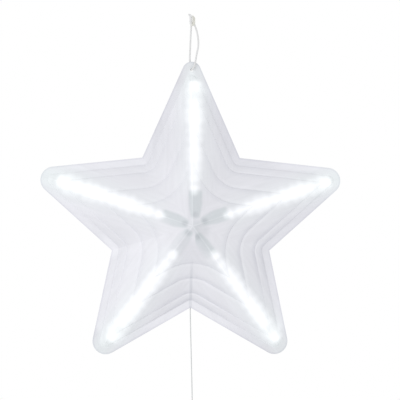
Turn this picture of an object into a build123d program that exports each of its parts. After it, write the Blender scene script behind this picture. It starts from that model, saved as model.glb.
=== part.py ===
from build123d import *
import math
import os

# LED christmas star: two translucent moulded half stars, five LED boards on a hub,
# a hanging string, and a thin lead to a battery box.
# Millimetres. X to the right, Y to the back, Z up. The front faces -Y.
# The origin is the point where a hook bears, inside the hanging loop under its knot.

# Star outline, in the plane of the seam
arm_count = 5
arm_point_radius = 235.0
notch_radius = 110.5
tip_round = 17.6
hanger_tip_round = 12.3

# Shell walls
shell_depth = 45.0
wall_thickness = 1.2
flange_thickness = 1.5
flange_width = 10.0
seam_land = 2.0
terrace_count = 3
terrace_start_share = 0.274
terrace_pitch_share = 0.288
riser_run = 1.5
riser_rise = 2.0
cap_steps = 4
overrun = 2.0

# Hanging hole and string
hole_edge_distance = 11.1
hanging_hole_diameter = 4.2
loop_drop = 58.0
string_diameter = 2.4
knot_width = 7.6
knot_height = 11.0
knot_base_height = 1.5
knot_wrap_thickness = 3.0
tail_length = 5.2

# LED boards
board_width = 16.0
board_thickness = 1.6
board_inner_radius = 5.5
board_inner_width = 5.0
board_taper_radius = 36.0
board_shoulder_setback = 33.4
tongue_width = 7.0
tongue_start_setback = 21.4
tongue_seat = 6.0
board_clearance = 0.2
led_first_radius = 50.0
led_pitch = 12.6
led_side = 5.0
led_height = 1.6
led_window_diameter = 4.2
led_window_depth = 0.4
resistor_length = 3.2
resistor_width = 1.6
resistor_height = 0.6
resistor_radius = 31.0

# Hub
hub_radius = 15.5
hub_thickness = 3.0
hub_lobe_width = 8.5
hub_lobe_radius = 29.0
hub_boss_radius = 4.0
hub_cap_radius = 8.0
hub_cap_thickness = 2.0
hub_cap_round = 0.8
screw_radius = 1.0
screw_head_radius = 1.9
screw_head_height = 1.2
screw_length = 4.2
screw_clearance = 0.1
screw_slot_width = 0.5
screw_slot_depth = 0.5
board_screw_radius = 18.5
centre_screw_radius = 1.25
centre_screw_head_radius = 2.3
centre_screw_length = 6.0

# Junction behind the hub
junction_radius = 12.4
junction_thickness = 1.2
junction_cover_radius = 14.5
junction_cover_wall = 1.2
junction_cover_height = 6.4
junction_pillar_radius = 2.4
junction_screw_offset = 8.2
junction_screw_length = 8.4
link_pin_radius = 0.35
link_pin_spacing = 2.54
link_pin_circle = 11.0

# Power cable
cable_diameter = 1.5
cable_bore_clearance = 0.1
cable_solder_radius = 7.0
cable_stop_radius = 1.7
cable_stop_length = 8.0
cable_stop_inset = 14.0
cable_drop = 150.5
cable_seam_share = 0.64

# Put-away coil of the cable
coil_outer_radius = 11.5
coil_pitch = 2.3
coil_layer_pitch = 2.2
coil_layers = 4
coil_half_turns_per_layer = 5
coil_lead = 3.0
tie_thickness = 1.0
tie_height = 4.0
tie_clearance = 0.3

# Battery box
cell_diameter = 14.5
cell_body_length = 49.2
cell_nub_length = 1.3
cell_nub_radius = 2.75
cell_count = 3
cell_pitch = 15.0
bay_margin = 0.6
bay_depth = 15.3
back_wall = 1.8
end_wall = 1.8
partition_thickness = 1.6
side_wall = 2.6
control_length = 18.0
case_corner = 3.0
cover_thickness = 2.0
cover_clearance = 0.2
rail_groove_depth = 1.2
rail_groove_height = 1.2
cover_grip_count = 5
cover_grip_width = 18.0
cover_grip_pitch = 2.4
cover_grip_thickness = 1.0
cover_grip_height = 0.5
box_drop = 29.0
relief_neck_radius = 2.3
relief_collar_radius = 3.4
relief_collar_length = 4.0
relief_tip_radius = 1.5
relief_inner_length = 1.2
plate_width = 9.0
plate_thickness = 0.4
strip_width = 1.0
spring_room = 6.1
spring_wire_diameter = 0.7
spring_base_radius = 4.4
spring_top_radius = 2.6
spring_half_turns = 7
timer_board_length = 31.0
timer_board_width = 12.5
timer_board_thickness = 1.2
timer_board_height = 8.0
timer_board_edge = 4.0
timer_post_radius = 1.6
chip_length = 5.0
chip_width = 4.0
chip_height = 1.5
crystal_radius = 1.0
crystal_length = 6.0
switch_length = 11.0
switch_width = 5.4
switch_height = 5.0
switch_slot_depth = 1.8
slider_travel = 2.0
slider_stem_length = 3.0
slider_stem_width = 2.2
slider_clearance = 0.3
slider_knob_length = 6.0
slider_knob_width = 4.4
slider_knob_height = 1.4
slider_rib_count = 3
slider_rib_width = 0.6
slider_rib_height = 0.4
control_boss_radius = 2.8
control_screw_inset = 4.2
control_screw_length = 9.0

# Shape of an arm, worked out from the outline
half_sector = math.pi / arm_count
notch_x = notch_radius * math.sin(half_sector)
notch_y = notch_radius * math.cos(half_sector)
half_angle = math.atan2(notch_x, arm_point_radius - notch_y)
edge_length = math.hypot(notch_x, arm_point_radius - notch_y)
edge_run = edge_length - tip_round / math.tan(half_angle)
tip_centre = arm_point_radius - tip_round / math.sin(half_angle)
tip_reach = tip_centre + tip_round
hanger_tip_centre = arm_point_radius - hanger_tip_round / math.sin(half_angle)
knee_radius = arm_point_radius - edge_length / math.cos(half_angle)
knee_inset = edge_length * math.tan(half_angle)
wall_slope = (shell_depth - flange_thickness) / (
    knee_inset - flange_width + knee_radius * math.sin(half_angle)
)
wall_rise = wall_thickness * math.hypot(1, wall_slope)
land_inset = flange_width + seam_land
foot_inset = flange_width + riser_run

# Points of the hanger tab, the longer end of the top arm's flange
tab_side_x = hanger_tip_round * math.cos(half_angle)
tab_side_y = hanger_tip_centre + hanger_tip_round * math.sin(half_angle)
tab_top = hanger_tip_centre + hanger_tip_round

# Heights down from the hook point at the origin
hole_radius_from_centre = tab_top - hole_edge_distance
star_drop = loop_drop + hole_radius_from_centre
exit_height = -star_drop - notch_radius
coil_centre_height = exit_height - cable_drop
box_top_height = coil_centre_height - box_drop

star_front = Plane(origin=(0, 0, -star_drop), x_dir=(1, 0, 0), z_dir=(0, -1, 0))
star_back = Plane(origin=(0, 0, -star_drop), x_dir=(-1, 0, 0), z_dir=(0, 1, 0))


def arm_plane(index):
    """The star's front plane, turned so that its x axis runs along one arm."""
    angle = math.pi / 2 + 2 * half_sector * index
    return Plane(
        origin=(0, 0, -star_drop), x_dir=(math.cos(angle), 0, math.sin(angle)), z_dir=(0, -1, 0)
    )


def mean_height(inset):
    """Height of the plain slope over a point this far in from the outline."""
    return flange_thickness + wall_slope * (inset - flange_width)


def outer_line():
    """Outer face of the wall as (inset from the outline, height over the seam)."""
    points = [(flange_width, flange_thickness)]
    points.append((foot_inset, mean_height(flange_width + riser_run / 2) + riser_rise / 2))
    for step in range(terrace_count):
        start = knee_inset * (terrace_start_share + step * terrace_pitch_share)
        middle = mean_height(start + riser_run / 2)
        points.append((start, middle - riser_rise / 2))
        points.append((start + riser_run, middle + riser_rise / 2))
    for step in range(cap_steps + 1):
        radius = knee_radius * (cap_steps - step) / cap_steps
        inset = math.hypot(notch_y - radius, notch_x)
        height = mean_height(knee_inset) + wall_slope * math.sin(half_angle) * (knee_radius - radius)
        points.append((inset, height))
    last_inset, last_height = points[-1]
    before_inset, before_height = points[-2]
    slope = (last_height - before_height) / (last_inset - before_inset)
    points.append((last_inset + overrun, last_height + slope * overrun))
    return points


def height_at(points, inset):
    """Height of a line of points at one inset, by straight interpolation."""
    for (inset_a, height_a), (inset_b, height_b) in zip(points, points[1:]):
        if inset_a <= inset <= inset_b:
            return height_a + (height_b - height_a) * (inset - inset_a) / (inset_b - inset_a)
    return points[-1][1]


outer_points = outer_line()
inner_points = [(land_inset, height_at(outer_points, land_inset) - wall_rise)]
inner_points += [(i, h - wall_rise) for i, h in outer_points if i > land_inset]
wall_outline = [(0, 0), (0, flange_thickness)] + outer_points
wall_outline += list(reversed(inner_points)) + [(land_inset, 0)]

# Sections of the wall stand square to the outline, across an arm's straight edge
inward = (-math.cos(half_angle), -math.sin(half_angle), 0)
along_edge = (-math.sin(half_angle), math.cos(half_angle), 0)
tangent_x = notch_x + edge_run * along_edge[0]
tangent_y = notch_y + edge_run * along_edge[1]
notch_section = Plane(origin=(notch_x, notch_y, 0), x_dir=inward, z_dir=along_edge)
tip_section = Plane(origin=(tangent_x, tangent_y, 0), x_dir=inward, z_dir=along_edge)
notch_axis = Axis((notch_x, notch_y, 0), (0, 0, 1))
tip_axis = Axis((0, tip_centre, 0), (0, 0, 1))
notch_sweep = math.degrees(math.pi / 2 - half_sector - half_angle)
tip_sweep = math.degrees(math.pi / 2 - half_angle)

# One arm of a shell, its axis along +Y and its seam on the XY plane
with BuildPart() as arm_shell:
    with BuildSketch(notch_section) as edge_profile:
        with BuildLine():
            Polyline(*wall_outline, close=True)
        make_face()
    extrude(amount=edge_run)
    revolve(edge_profile.sketch, axis=notch_axis, revolution_arc=notch_sweep)
    split(bisect_by=Plane.YZ, keep=Keep.TOP)
    mirror(about=Plane.YZ)
    with BuildSketch(tip_section) as tip_profile:
        with BuildLine():
            Polyline(*wall_outline, close=True)
        make_face()
        Rectangle(tip_round, shell_depth, align=(Align.MIN, Align.MIN), mode=Mode.INTERSECT)
    revolve(tip_profile.sketch, axis=tip_axis, revolution_arc=2 * tip_sweep)

# Pockets in the seam hold the boards' tongues, and a groove lets the cable out
tongue_end = tip_reach - tongue_seat
pocket_start = tip_reach - land_inset - overrun
pocket_end = tongue_end + board_clearance
pocket_depth = (board_thickness + board_clearance) / 2
groove_radius = cable_diameter / 2 + cable_bore_clearance
groove_start = land_inset + overrun - notch_radius


def make_shell(plane):
    """A half star whose seam lies on the given plane."""
    with BuildPart(plane) as half_star:
        with PolarLocations(0, arm_count):
            add(arm_shell.part)
        with BuildSketch(plane):
            with BuildLine():
                Line((-tangent_x, tangent_y), (tangent_x, tangent_y))
                Line((tangent_x, tangent_y), (tab_side_x, tab_side_y))
                ThreePointArc((tab_side_x, tab_side_y), (0, tab_top), (-tab_side_x, tab_side_y))
                Line((-tab_side_x, tab_side_y), (-tangent_x, tangent_y))
            make_face()
            with Locations((0, tip_centre)):
                Circle(tip_round - flange_width / 2, mode=Mode.SUBTRACT)
        extrude(amount=flange_thickness)
        with BuildSketch(plane):
            with Locations((0, hole_radius_from_centre)):
                Circle(hanging_hole_diameter / 2)
        extrude(amount=flange_thickness, both=True, mode=Mode.SUBTRACT)
        with BuildSketch(plane):
            with PolarLocations(0, arm_count, start_angle=90):
                with Locations(((pocket_start + pocket_end) / 2, 0)):
                    Rectangle(pocket_end - pocket_start, tongue_width + 2 * board_clearance)
        extrude(amount=pocket_depth, mode=Mode.SUBTRACT)
        with Locations((0, groove_start, 0)):
            Cylinder(
                groove_radius,
                land_inset + 2 * overrun,
                rotation=(90, 0, 0),
                align=(Align.CENTER, Align.CENTER, Align.MIN),
                mode=Mode.SUBTRACT,
            )
    return half_star


front_shell = make_shell(star_front)
front_shell.part.label = "front_shell"
rear_shell = make_shell(star_back)
rear_shell.part.label = "rear_shell"

# LED boards: strips on the seam plane, pointed at the hub and with a tongue at the tip
board_half_width = board_width / 2
board_shoulder_radius = tip_reach - board_shoulder_setback
tongue_start_radius = tip_reach - tongue_start_setback
led_count = int((pocket_start - led_first_radius) / led_pitch) + 1
board_edge = [
    (board_inner_radius, board_inner_width / 2),
    (board_taper_radius, board_half_width),
    (board_shoulder_radius, board_half_width),
    (tongue_start_radius, tongue_width / 2),
    (tongue_end, tongue_width / 2),
]
board_outline = board_edge + [(x, -y) for x, y in reversed(board_edge)]
led_places = [(led_first_radius + step * led_pitch, 0) for step in range(led_count)]


def make_board(index):
    """One LED board, with the hole for its screw."""
    plane = arm_plane(index)
    with BuildPart(plane) as board:
        with BuildSketch(plane.offset(-board_thickness / 2)):
            with BuildLine():
                Polyline(*board_outline, close=True)
            make_face()
            with Locations((board_screw_radius, 0)):
                Circle(screw_radius + screw_clearance, mode=Mode.SUBTRACT)
        extrude(amount=board_thickness)
    return board


def make_leds(index, side):
    """The LEDs on one face of a board: side is 1 for the front and -1 for the back."""
    front = arm_plane(index)
    plane = Plane(origin=front.origin, x_dir=front.x_dir, z_dir=front.z_dir * side)
    top = board_thickness / 2 + led_height
    with BuildPart(plane) as leds:
        with BuildSketch(plane.offset(board_thickness / 2)):
            with Locations(*led_places):
                Rectangle(led_side, led_side)
        extrude(amount=led_height)
        with BuildSketch(plane.offset(top)):
            with Locations(*led_places):
                Circle(led_window_diameter / 2)
        extrude(amount=-led_window_depth, mode=Mode.SUBTRACT)
    return leds


led_boards = []
front_leds = []
rear_leds = []
for arm in range(arm_count):
    led_board = make_board(arm)
    led_board.part.label = f"led_board_{arm + 1}"
    led_boards.append(led_board)
    led_row = make_leds(arm, 1)
    led_row.part.label = f"front_leds_{arm + 1}"
    front_leds.append(led_row)
    led_row = make_leds(arm, -1)
    led_row.part.label = f"rear_leds_{arm + 1}"
    rear_leds.append(led_row)

with BuildPart() as board_resistors:
    for arm in range(arm_count):
        with BuildSketch(arm_plane(arm).offset(-board_thickness / 2)):
            with Locations((resistor_radius, 0)):
                Rectangle(resistor_length, resistor_width)
        extrude(amount=-resistor_height)
board_resistors.part.label = "board_resistors"

# Hub base: a disc with five lobes under the boards, and a boss between their inner ends
hub_front = -board_thickness / 2
hub_back = hub_front - hub_thickness
lobe_run = hub_lobe_radius - hub_lobe_width / 2
pin_places = [(link_pin_circle, link_pin_spacing / 2), (link_pin_circle, -link_pin_spacing / 2)]
junction_screw_places = [(-junction_screw_offset, 0), (junction_screw_offset, 0)]
with BuildPart(star_front) as hub_base:
    with BuildSketch(star_front.offset(hub_back)):
        Circle(hub_radius)
        with PolarLocations(0, arm_count, start_angle=90):
            with Locations((lobe_run / 2, 0)):
                Rectangle(lobe_run, hub_lobe_width)
            with Locations((lobe_run, 0)):
                Circle(hub_lobe_width / 2)
            with Locations((board_screw_radius, 0)):
                Circle(screw_radius + screw_clearance, mode=Mode.SUBTRACT)
            with Locations(*pin_places):
                Circle(link_pin_radius + screw_clearance, mode=Mode.SUBTRACT)
        with Locations(*junction_screw_places):
            Circle(screw_radius + screw_clearance, mode=Mode.SUBTRACT)
    extrude(amount=hub_thickness)
    with BuildSketch(star_front.offset(hub_front)):
        Circle(hub_boss_radius)
    extrude(amount=board_thickness)
    with BuildSketch(star_front.offset(-hub_front)):
        Circle(centre_screw_radius + screw_clearance)
    extrude(amount=-centre_screw_length, mode=Mode.SUBTRACT)
hub_base.part.label = "hub_base"

cap_bottom = board_thickness / 2
cap_top = cap_bottom + hub_cap_thickness
with BuildPart(star_front) as hub_cap:
    with BuildSketch(star_front.offset(cap_bottom)):
        Circle(hub_cap_radius)
        Circle(centre_screw_radius + screw_clearance, mode=Mode.SUBTRACT)
    extrude(amount=hub_cap_thickness)
    rim = hub_cap.edges().filter_by(GeomType.CIRCLE).group_by(SortBy.RADIUS)[-1]
    fillet(rim.sort_by(Axis.Y)[:1], radius=hub_cap_round)
hub_cap.part.label = "hub_cap"


def make_screws(plane, head_radius, shank_radius, shank_length, places):
    """Pan head screws that are driven in against the plane's normal, seated on it."""
    with BuildPart(plane) as screws:
        with BuildSketch(plane):
            with Locations(*places):
                Circle(head_radius)
        extrude(amount=screw_head_height)
        with BuildSketch(plane):
            with Locations(*places):
                Circle(shank_radius)
        extrude(amount=-shank_length)
        with BuildSketch(plane.offset(screw_head_height)):
            with Locations(*places):
                Rectangle(2 * head_radius, screw_slot_width)
        extrude(amount=-screw_slot_depth, mode=Mode.SUBTRACT)
    return screws


board_screw_places = []
for arm in range(arm_count):
    angle = math.pi / 2 + 2 * half_sector * arm
    board_screw_places.append(
        (board_screw_radius * math.cos(angle), board_screw_radius * math.sin(angle))
    )
board_screws = make_screws(
    star_front.offset(cap_bottom), screw_head_radius, screw_radius, screw_length, board_screw_places
)
board_screws.part.label = "board_screws"
centre_screw = make_screws(
    star_front.offset(cap_top),
    centre_screw_head_radius,
    centre_screw_radius,
    centre_screw_length,
    [(0, 0)],
)
centre_screw.part.label = "centre_screw"

# Junction board on the back of the hub, its pins to the LED boards and its cover
junction_back = hub_back - junction_thickness
cover_back = hub_back - junction_cover_height
cable_lie = junction_back - cable_diameter / 2
with BuildPart(star_front) as junction_board:
    with BuildSketch(star_front.offset(junction_back)):
        Circle(junction_radius)
        with Locations(*junction_screw_places):
            Circle(screw_radius + screw_clearance, mode=Mode.SUBTRACT)
    extrude(amount=junction_thickness)
junction_board.part.label = "junction_board"

with BuildPart() as link_pins:
    for arm in range(arm_count):
        with BuildSketch(arm_plane(arm).offset(hub_back)):
            with Locations(*pin_places):
                Circle(link_pin_radius)
        extrude(amount=hub_thickness)
link_pins.part.label = "link_pins"

with BuildPart(star_front) as junction_cover:
    with BuildSketch(star_front.offset(cover_back)):
        Circle(junction_cover_radius)
    extrude(amount=junction_cover_height)
    with BuildSketch(star_front.offset(cover_back + junction_cover_wall)):
        Circle(junction_cover_radius - junction_cover_wall)
    extrude(amount=junction_cover_height, mode=Mode.SUBTRACT)
    with BuildSketch(star_front.offset(cover_back)):
        with Locations(*junction_screw_places):
            Circle(junction_pillar_radius)
    extrude(amount=junction_back - cover_back)
    with BuildSketch(star_front.offset(cover_back)):
        with Locations(*junction_screw_places):
            Circle(screw_radius + screw_clearance)
    extrude(amount=junction_cover_height, mode=Mode.SUBTRACT)
    with BuildSketch(star_front.offset(cable_lie - groove_radius)):
        with Locations((0, -junction_cover_radius)):
            Rectangle(2 * groove_radius, 2 * junction_cover_wall + overrun)
    extrude(amount=junction_cover_height, mode=Mode.SUBTRACT)
junction_cover.part.label = "junction_cover"

junction_screws = make_screws(
    star_back.offset(-cover_back),
    screw_head_radius,
    screw_radius,
    junction_screw_length,
    junction_screw_places,
)
junction_screws.part.label = "junction_screws"


def bend_radii(route):
    """A radius for each corner: as large as its two runs allow."""
    radii = []
    for before, corner, after in zip(route, route[1:], route[2:]):
        run_in = Vector(*corner) - Vector(*before)
        run_out = Vector(*after) - Vector(*corner)
        turn = math.radians(run_in.get_angle(run_out))
        radii.append(0.45 * min(run_in.length, run_out.length) / math.tan(turn / 2))
    return radii


def make_tube(route, diameter):
    """A round cord along straight runs that tangent arcs join."""
    radii = bend_radii(route)
    with BuildPart() as tube:
        with BuildLine() as path:
            FilletPolyline(*route, radius=radii)
        wire = path.wire()
        with BuildSketch(Plane(origin=wire @ 0, z_dir=wire % 0)):
            Circle(diameter / 2)
        sweep(path=wire)
    full_volume = math.pi * diameter**2 / 4 * wire.length
    print(
        f"tube {wire.length:.1f} long, least radius {min(radii):.2f},",
        f"volume share of a straight one {tube.part.volume / full_volume:.4f}",
    )
    return tube


# Hanging string: down behind the top tip, through the hole, and up in front of it
string_route = [
    (-1.5, 0.6, knot_base_height),
    (-1.5, 0.6, -3.5),
    (-2.4, 3.0, -44.0),
    (-1.7, 3.2, -50.5),
    (-0.3, 3.1, -58.0),
    (0.3, -3.1, -58.0),
    (3.1, -3.2, -53.0),
    (4.7, -3.1, -47.0),
    (7.4, -2.3, -36.5),
    (9.2, -1.6, -25.5),
    (8.6, -1.0, -15.0),
    (6.9, -0.7, -8.4),
    (4.9, -0.6, -4.3),
    (2.7, -0.6, -1.4),
    (2.7, -0.6, knot_base_height),
]
hanging_cord = make_tube(string_route, string_diameter)
hanging_cord.part.label = "hanging_cord"

# Overhand knot over the loop: a core, three tilted wraps and two short tails
knot_x = (string_route[0][0] + string_route[-1][0]) / 2
knot_top = knot_base_height + knot_height
wrap_radius = knot_width / 2 - knot_wrap_thickness / 2
wrap_tilts = [14, -12, 16]
long_tail_lean = -28
short_tail_lean = 12
with BuildPart() as hanging_knot:
    with Locations((knot_x, 0, knot_base_height)):
        Cylinder(wrap_radius, knot_height, align=(Align.CENTER, Align.CENTER, Align.MIN))
        Cylinder(
            knot_width / 2, knot_wrap_thickness, align=(Align.CENTER, Align.CENTER, Align.MIN)
        )
    for wrap, tilt in enumerate(wrap_tilts):
        height = knot_base_height + knot_height * (wrap + 1) / (len(wrap_tilts) + 1)
        with Locations((knot_x, 0, height)):
            Torus(wrap_radius, knot_wrap_thickness / 2, rotation=(0, tilt, 0))
    with Locations((knot_x - wrap_radius / 2, 0, knot_top - overrun)):
        Cylinder(
            string_diameter / 2,
            overrun + tail_length,
            rotation=(0, long_tail_lean, 0),
            align=(Align.CENTER, Align.CENTER, Align.MIN),
        )
    with Locations((knot_x + wrap_radius / 2, 0, knot_top - overrun)):
        Cylinder(
            string_diameter / 2,
            overrun + tail_length / 2,
            rotation=(0, short_tail_lean, 0),
            align=(Align.CENTER, Align.CENTER, Align.MIN),
        )
hanging_knot.part.label = "hanging_knot"

# Power cable inside the star, from the junction board down the lower valley to the seam
inner_cable_route = [
    (0.0, -cable_lie, -star_drop - cable_solder_radius),
    (0.0, -cable_lie, -star_drop - hub_lobe_radius),
    (0.0, 0.0, -star_drop - notch_radius * cable_seam_share),
    (0.0, 0.0, exit_height),
]
inner_cable = make_tube(inner_cable_route, cable_diameter)
inner_cable.part.label = "inner_cable"

stop_low = exit_height + cable_stop_inset
stop_plane = Plane.XY.offset(stop_low)
with BuildPart(stop_plane) as cable_stop:
    with BuildSketch(stop_plane):
        Circle(cable_stop_radius)
        Circle((cable_diameter + cable_bore_clearance) / 2, mode=Mode.SUBTRACT)
    extrude(amount=cable_stop_length)
cable_stop.part.label = "cable_stop"

# Power cable below the star: nearly straight, as it hangs in the photograph
cable_route = [
    (0.0, 0.0, exit_height),
    (0.0, 0.0, exit_height - 11.5),
    (3.2, 0.0, coil_centre_height + 27.0),
    (3.2, 0.0, coil_centre_height + coil_lead),
]
power_cable = make_tube(cable_route, cable_diameter)
power_cable.part.label = "power_cable"

# Coil of the spare length: it spirals in and out in layers, half a turn at a time
coil_start = Vector(*cable_route[-1])
coil_centre_x = coil_start.X - coil_outer_radius
coil_nodes = [(coil_outer_radius, 0)]
for layer in range(coil_layers):
    inwards = -1 if layer % 2 == 0 else 1
    for half_turn in range(coil_half_turns_per_layer):
        radius, depth = coil_nodes[-1]
        coil_nodes.append((radius + inwards * coil_pitch / 2, depth))
    if layer < coil_layers - 1:
        radius, depth = coil_nodes[-1]
        coil_nodes.append((radius, depth + coil_layer_pitch))
coil_nodes.append((coil_nodes[-1][0] + coil_pitch / 2, coil_nodes[-1][1]))
coil_points = []
for step, (radius, depth) in enumerate(coil_nodes):
    side = 1 if step % 2 == 0 else -1
    coil_points.append(
        Vector(coil_centre_x + side * radius, coil_start.Y + depth, coil_centre_height)
    )


def half_turns(points, first_tangent):
    """Each half turn as two quarter arcs, tangent to each other and to their neighbours."""
    tangent = Vector(*first_tangent)
    arcs = []
    for start, end in zip(points, points[1:]):
        chord = end - start
        joint = (start + end) * 0.5 + tangent * (chord.length / 2)
        arcs.append((start, joint, tangent))
        arcs.append((joint, end, chord))
        tangent = tangent * -1
    return arcs


def make_winding(points, first_tangent, lead, diameter):
    """One unbroken tube along half turns, straight at both ends, and its centre line."""
    arcs = half_turns(points, first_tangent)
    lead_in = Vector(*first_tangent) * lead
    lead_out = lead_in if len(points) % 2 else lead_in * -1
    with BuildPart() as wound:
        with BuildLine() as path:
            Line(points[0] - lead_in, points[0])
            for start, end, tangent in arcs:
                TangentArc(start, end, tangent=tangent)
            Line(points[-1], points[-1] + lead_out)
        wire = path.wire()
        with BuildSketch(Plane(origin=wire @ 0, z_dir=wire % 0)):
            Circle(diameter / 2)
        sweep(path=wire)
    return wound, wire


def least_gap(wire, diameter, reach):
    """Least gap of a wound tube to itself, between points further apart along it than reach."""
    steps = int(wire.length / (diameter / 2))
    spots = [tuple(wire @ (step / steps)) for step in range(steps + 1)]
    apart = int(reach / (wire.length / steps)) + 1
    least = wire.length
    for first, spot in enumerate(spots):
        for other in spots[first + apart :]:
            least = min(least, math.dist(spot, other))
    return least - diameter


cable_coil, coil_wire = make_winding(coil_points, (0, 0, -1), coil_lead, cable_diameter)
cable_coil.part.label = "cable_coil"
coil_gap = least_gap(coil_wire, cable_diameter, coil_outer_radius)
print(f"coil {coil_wire.length:.1f} long, least gap {coil_gap:.2f}")

# Tie round the side of the coil where the cable comes in and goes out
coil_inner_radius = min(radius for radius, depth in coil_nodes)
coil_last_radius = coil_nodes[-1][0]
coil_depth = coil_nodes[-1][1]
tie_margin = cable_diameter / 2 + tie_clearance
tie_low_x = (
    coil_centre_x + math.sqrt(coil_inner_radius**2 - (tie_height / 2) ** 2) - tie_margin
)
tie_high_x = coil_centre_x + coil_last_radius + tie_margin
tie_width = tie_high_x - tie_low_x
tie_depth = coil_depth + 2 * tie_margin
tie_plane = Plane(
    origin=(
        (tie_low_x + tie_high_x) / 2,
        coil_start.Y + coil_depth / 2,
        coil_centre_height - tie_height / 2,
    )
)
with BuildPart(tie_plane) as coil_tie:
    with BuildSketch(tie_plane):
        RectangleRounded(
            tie_width + 2 * tie_thickness, tie_depth + 2 * tie_thickness, tie_margin + tie_thickness
        )
        RectangleRounded(tie_width, tie_depth, tie_margin - tie_clearance, mode=Mode.SUBTRACT)
    extrude(amount=tie_height)
coil_tie.part.label = "coil_tie"

# Tail of the cable, straight down into the battery box's strain relief
tail_x = coil_centre_x + coil_last_radius
tail_y = coil_start.Y + coil_depth
tail_plane = Plane(origin=(tail_x, tail_y, box_top_height + relief_collar_length))
with BuildPart(tail_plane) as cable_tail:
    with BuildSketch(tail_plane):
        Circle(cable_diameter / 2)
    extrude(amount=coil_centre_height - coil_lead - box_top_height - relief_collar_length)
cable_tail.part.label = "cable_tail"

# Battery box, in a plane whose Y runs up and whose Z runs from the back wall to the front
bay_width = cell_count * cell_pitch + bay_margin
cell_total = cell_body_length + cell_nub_length
bay_length = cell_total + spring_room + 2 * plate_thickness
case_width = bay_width + 2 * side_wall
bay_top = end_wall + control_length + partition_thickness
case_length = bay_top + bay_length + end_wall
tray_depth = back_wall + bay_depth
case_depth = tray_depth + cover_thickness
rail_start = bay_top - partition_thickness / 2
rail_length = case_length - rail_start - case_corner
cell_axis = back_wall + bay_depth / 2
box_plane = Plane(
    origin=(tail_x, tail_y + cell_axis, box_top_height), x_dir=(1, 0, 0), z_dir=(0, -1, 0)
)
relief_plane = Plane(
    origin=(tail_x, tail_y, box_top_height), x_dir=(1, 0, 0), z_dir=(0, -1, 0)
)
lid_plane = Plane(origin=(tail_x, tail_y, box_top_height), x_dir=(1, 0, 0), z_dir=(0, 0, 1))
control_middle = -(end_wall + control_length / 2)
boss_x = bay_width / 2 - control_screw_inset
control_screw_places = [(-boss_x, control_middle), (boss_x, control_middle)]
board_top = -(end_wall + timer_board_edge)
board_bottom = board_top - timer_board_width
timer_middle = (board_top + board_bottom) / 2
post_x = timer_board_length / 2 - 2 * timer_post_radius
strip_x = cell_pitch / 2
with BuildPart(box_plane) as battery_case:
    with BuildSketch(box_plane):
        with Locations((0, -case_length / 2)):
            RectangleRounded(case_width, case_length, case_corner)
    extrude(amount=tray_depth)
    with BuildSketch(box_plane.offset(tray_depth)):
        with Locations(
            (-(case_width - side_wall) / 2, -(rail_start + rail_length / 2)),
            ((case_width - side_wall) / 2, -(rail_start + rail_length / 2)),
        ):
            Rectangle(side_wall, rail_length)
    extrude(amount=cover_thickness)
    with BuildSketch(box_plane.offset(tray_depth)):
        with Locations((0, -(rail_start + rail_length / 2))):
            Rectangle(bay_width + 2 * rail_groove_depth, rail_length)
    extrude(amount=rail_groove_height, mode=Mode.SUBTRACT)
    with BuildSketch(box_plane.offset(back_wall)):
        with Locations((0, -(bay_top + bay_length / 2))):
            Rectangle(bay_width, bay_length)
        with Locations((0, control_middle)):
            Rectangle(bay_width, control_length)
    extrude(amount=bay_depth, mode=Mode.SUBTRACT)
    with BuildSketch(box_plane.offset(back_wall)):
        with Locations(*control_screw_places):
            Circle(control_boss_radius)
    extrude(amount=bay_depth)
    with BuildSketch(box_plane.offset(tray_depth)):
        with Locations(*control_screw_places):
            Circle(screw_radius + screw_clearance)
    extrude(amount=-control_screw_length, mode=Mode.SUBTRACT)
    with BuildSketch(box_plane.offset(back_wall)):
        with Locations((-post_x, timer_middle), (post_x, timer_middle)):
            Circle(timer_post_radius)
    extrude(amount=timer_board_height - back_wall)
    with BuildSketch(lid_plane):
        Circle(relief_neck_radius + screw_clearance)
    extrude(amount=-end_wall, mode=Mode.SUBTRACT)
    with BuildSketch(box_plane.offset(back_wall)):
        with Locations((strip_x, -(bay_top - partition_thickness / 2))):
            Rectangle(strip_width + 2 * board_clearance, partition_thickness)
    extrude(amount=plate_thickness + board_clearance, mode=Mode.SUBTRACT)
    with BuildSketch(box_plane.offset(timer_board_height - board_clearance)):
        with Locations((-cell_pitch, -(bay_top - partition_thickness / 2))):
            Rectangle(strip_width + 2 * board_clearance, partition_thickness)
    extrude(amount=plate_thickness + 2 * board_clearance, mode=Mode.SUBTRACT)
battery_case.part.label = "battery_case"

# Sliding cover of the cell bay, with tongues in the rails and ribs for a finger
cover_top = rail_start + cover_clearance
cover_length = case_length - cover_top
with BuildPart(box_plane) as battery_cover:
    with BuildSketch(box_plane.offset(tray_depth + cover_clearance)):
        with Locations((0, -(cover_top + cover_length / 2))):
            Rectangle(bay_width - 2 * cover_clearance, cover_length)
    extrude(amount=cover_thickness - cover_clearance)
    with BuildSketch(box_plane.offset(tray_depth + cover_clearance)):
        with Locations((0, -(cover_top + (rail_length - cover_clearance) / 2))):
            Rectangle(
                bay_width + 2 * (rail_groove_depth - cover_clearance), rail_length - cover_clearance
            )
    extrude(amount=rail_groove_height - 2 * cover_clearance)
    with BuildSketch(box_plane.offset(case_depth)):
        with Locations((0, -(cover_top + cover_length / 4))):
            with GridLocations(0, cover_grip_pitch, 1, cover_grip_count):
                Rectangle(cover_grip_width, cover_grip_thickness)
    extrude(amount=cover_grip_height)
battery_cover.part.label = "battery_cover"

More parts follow.
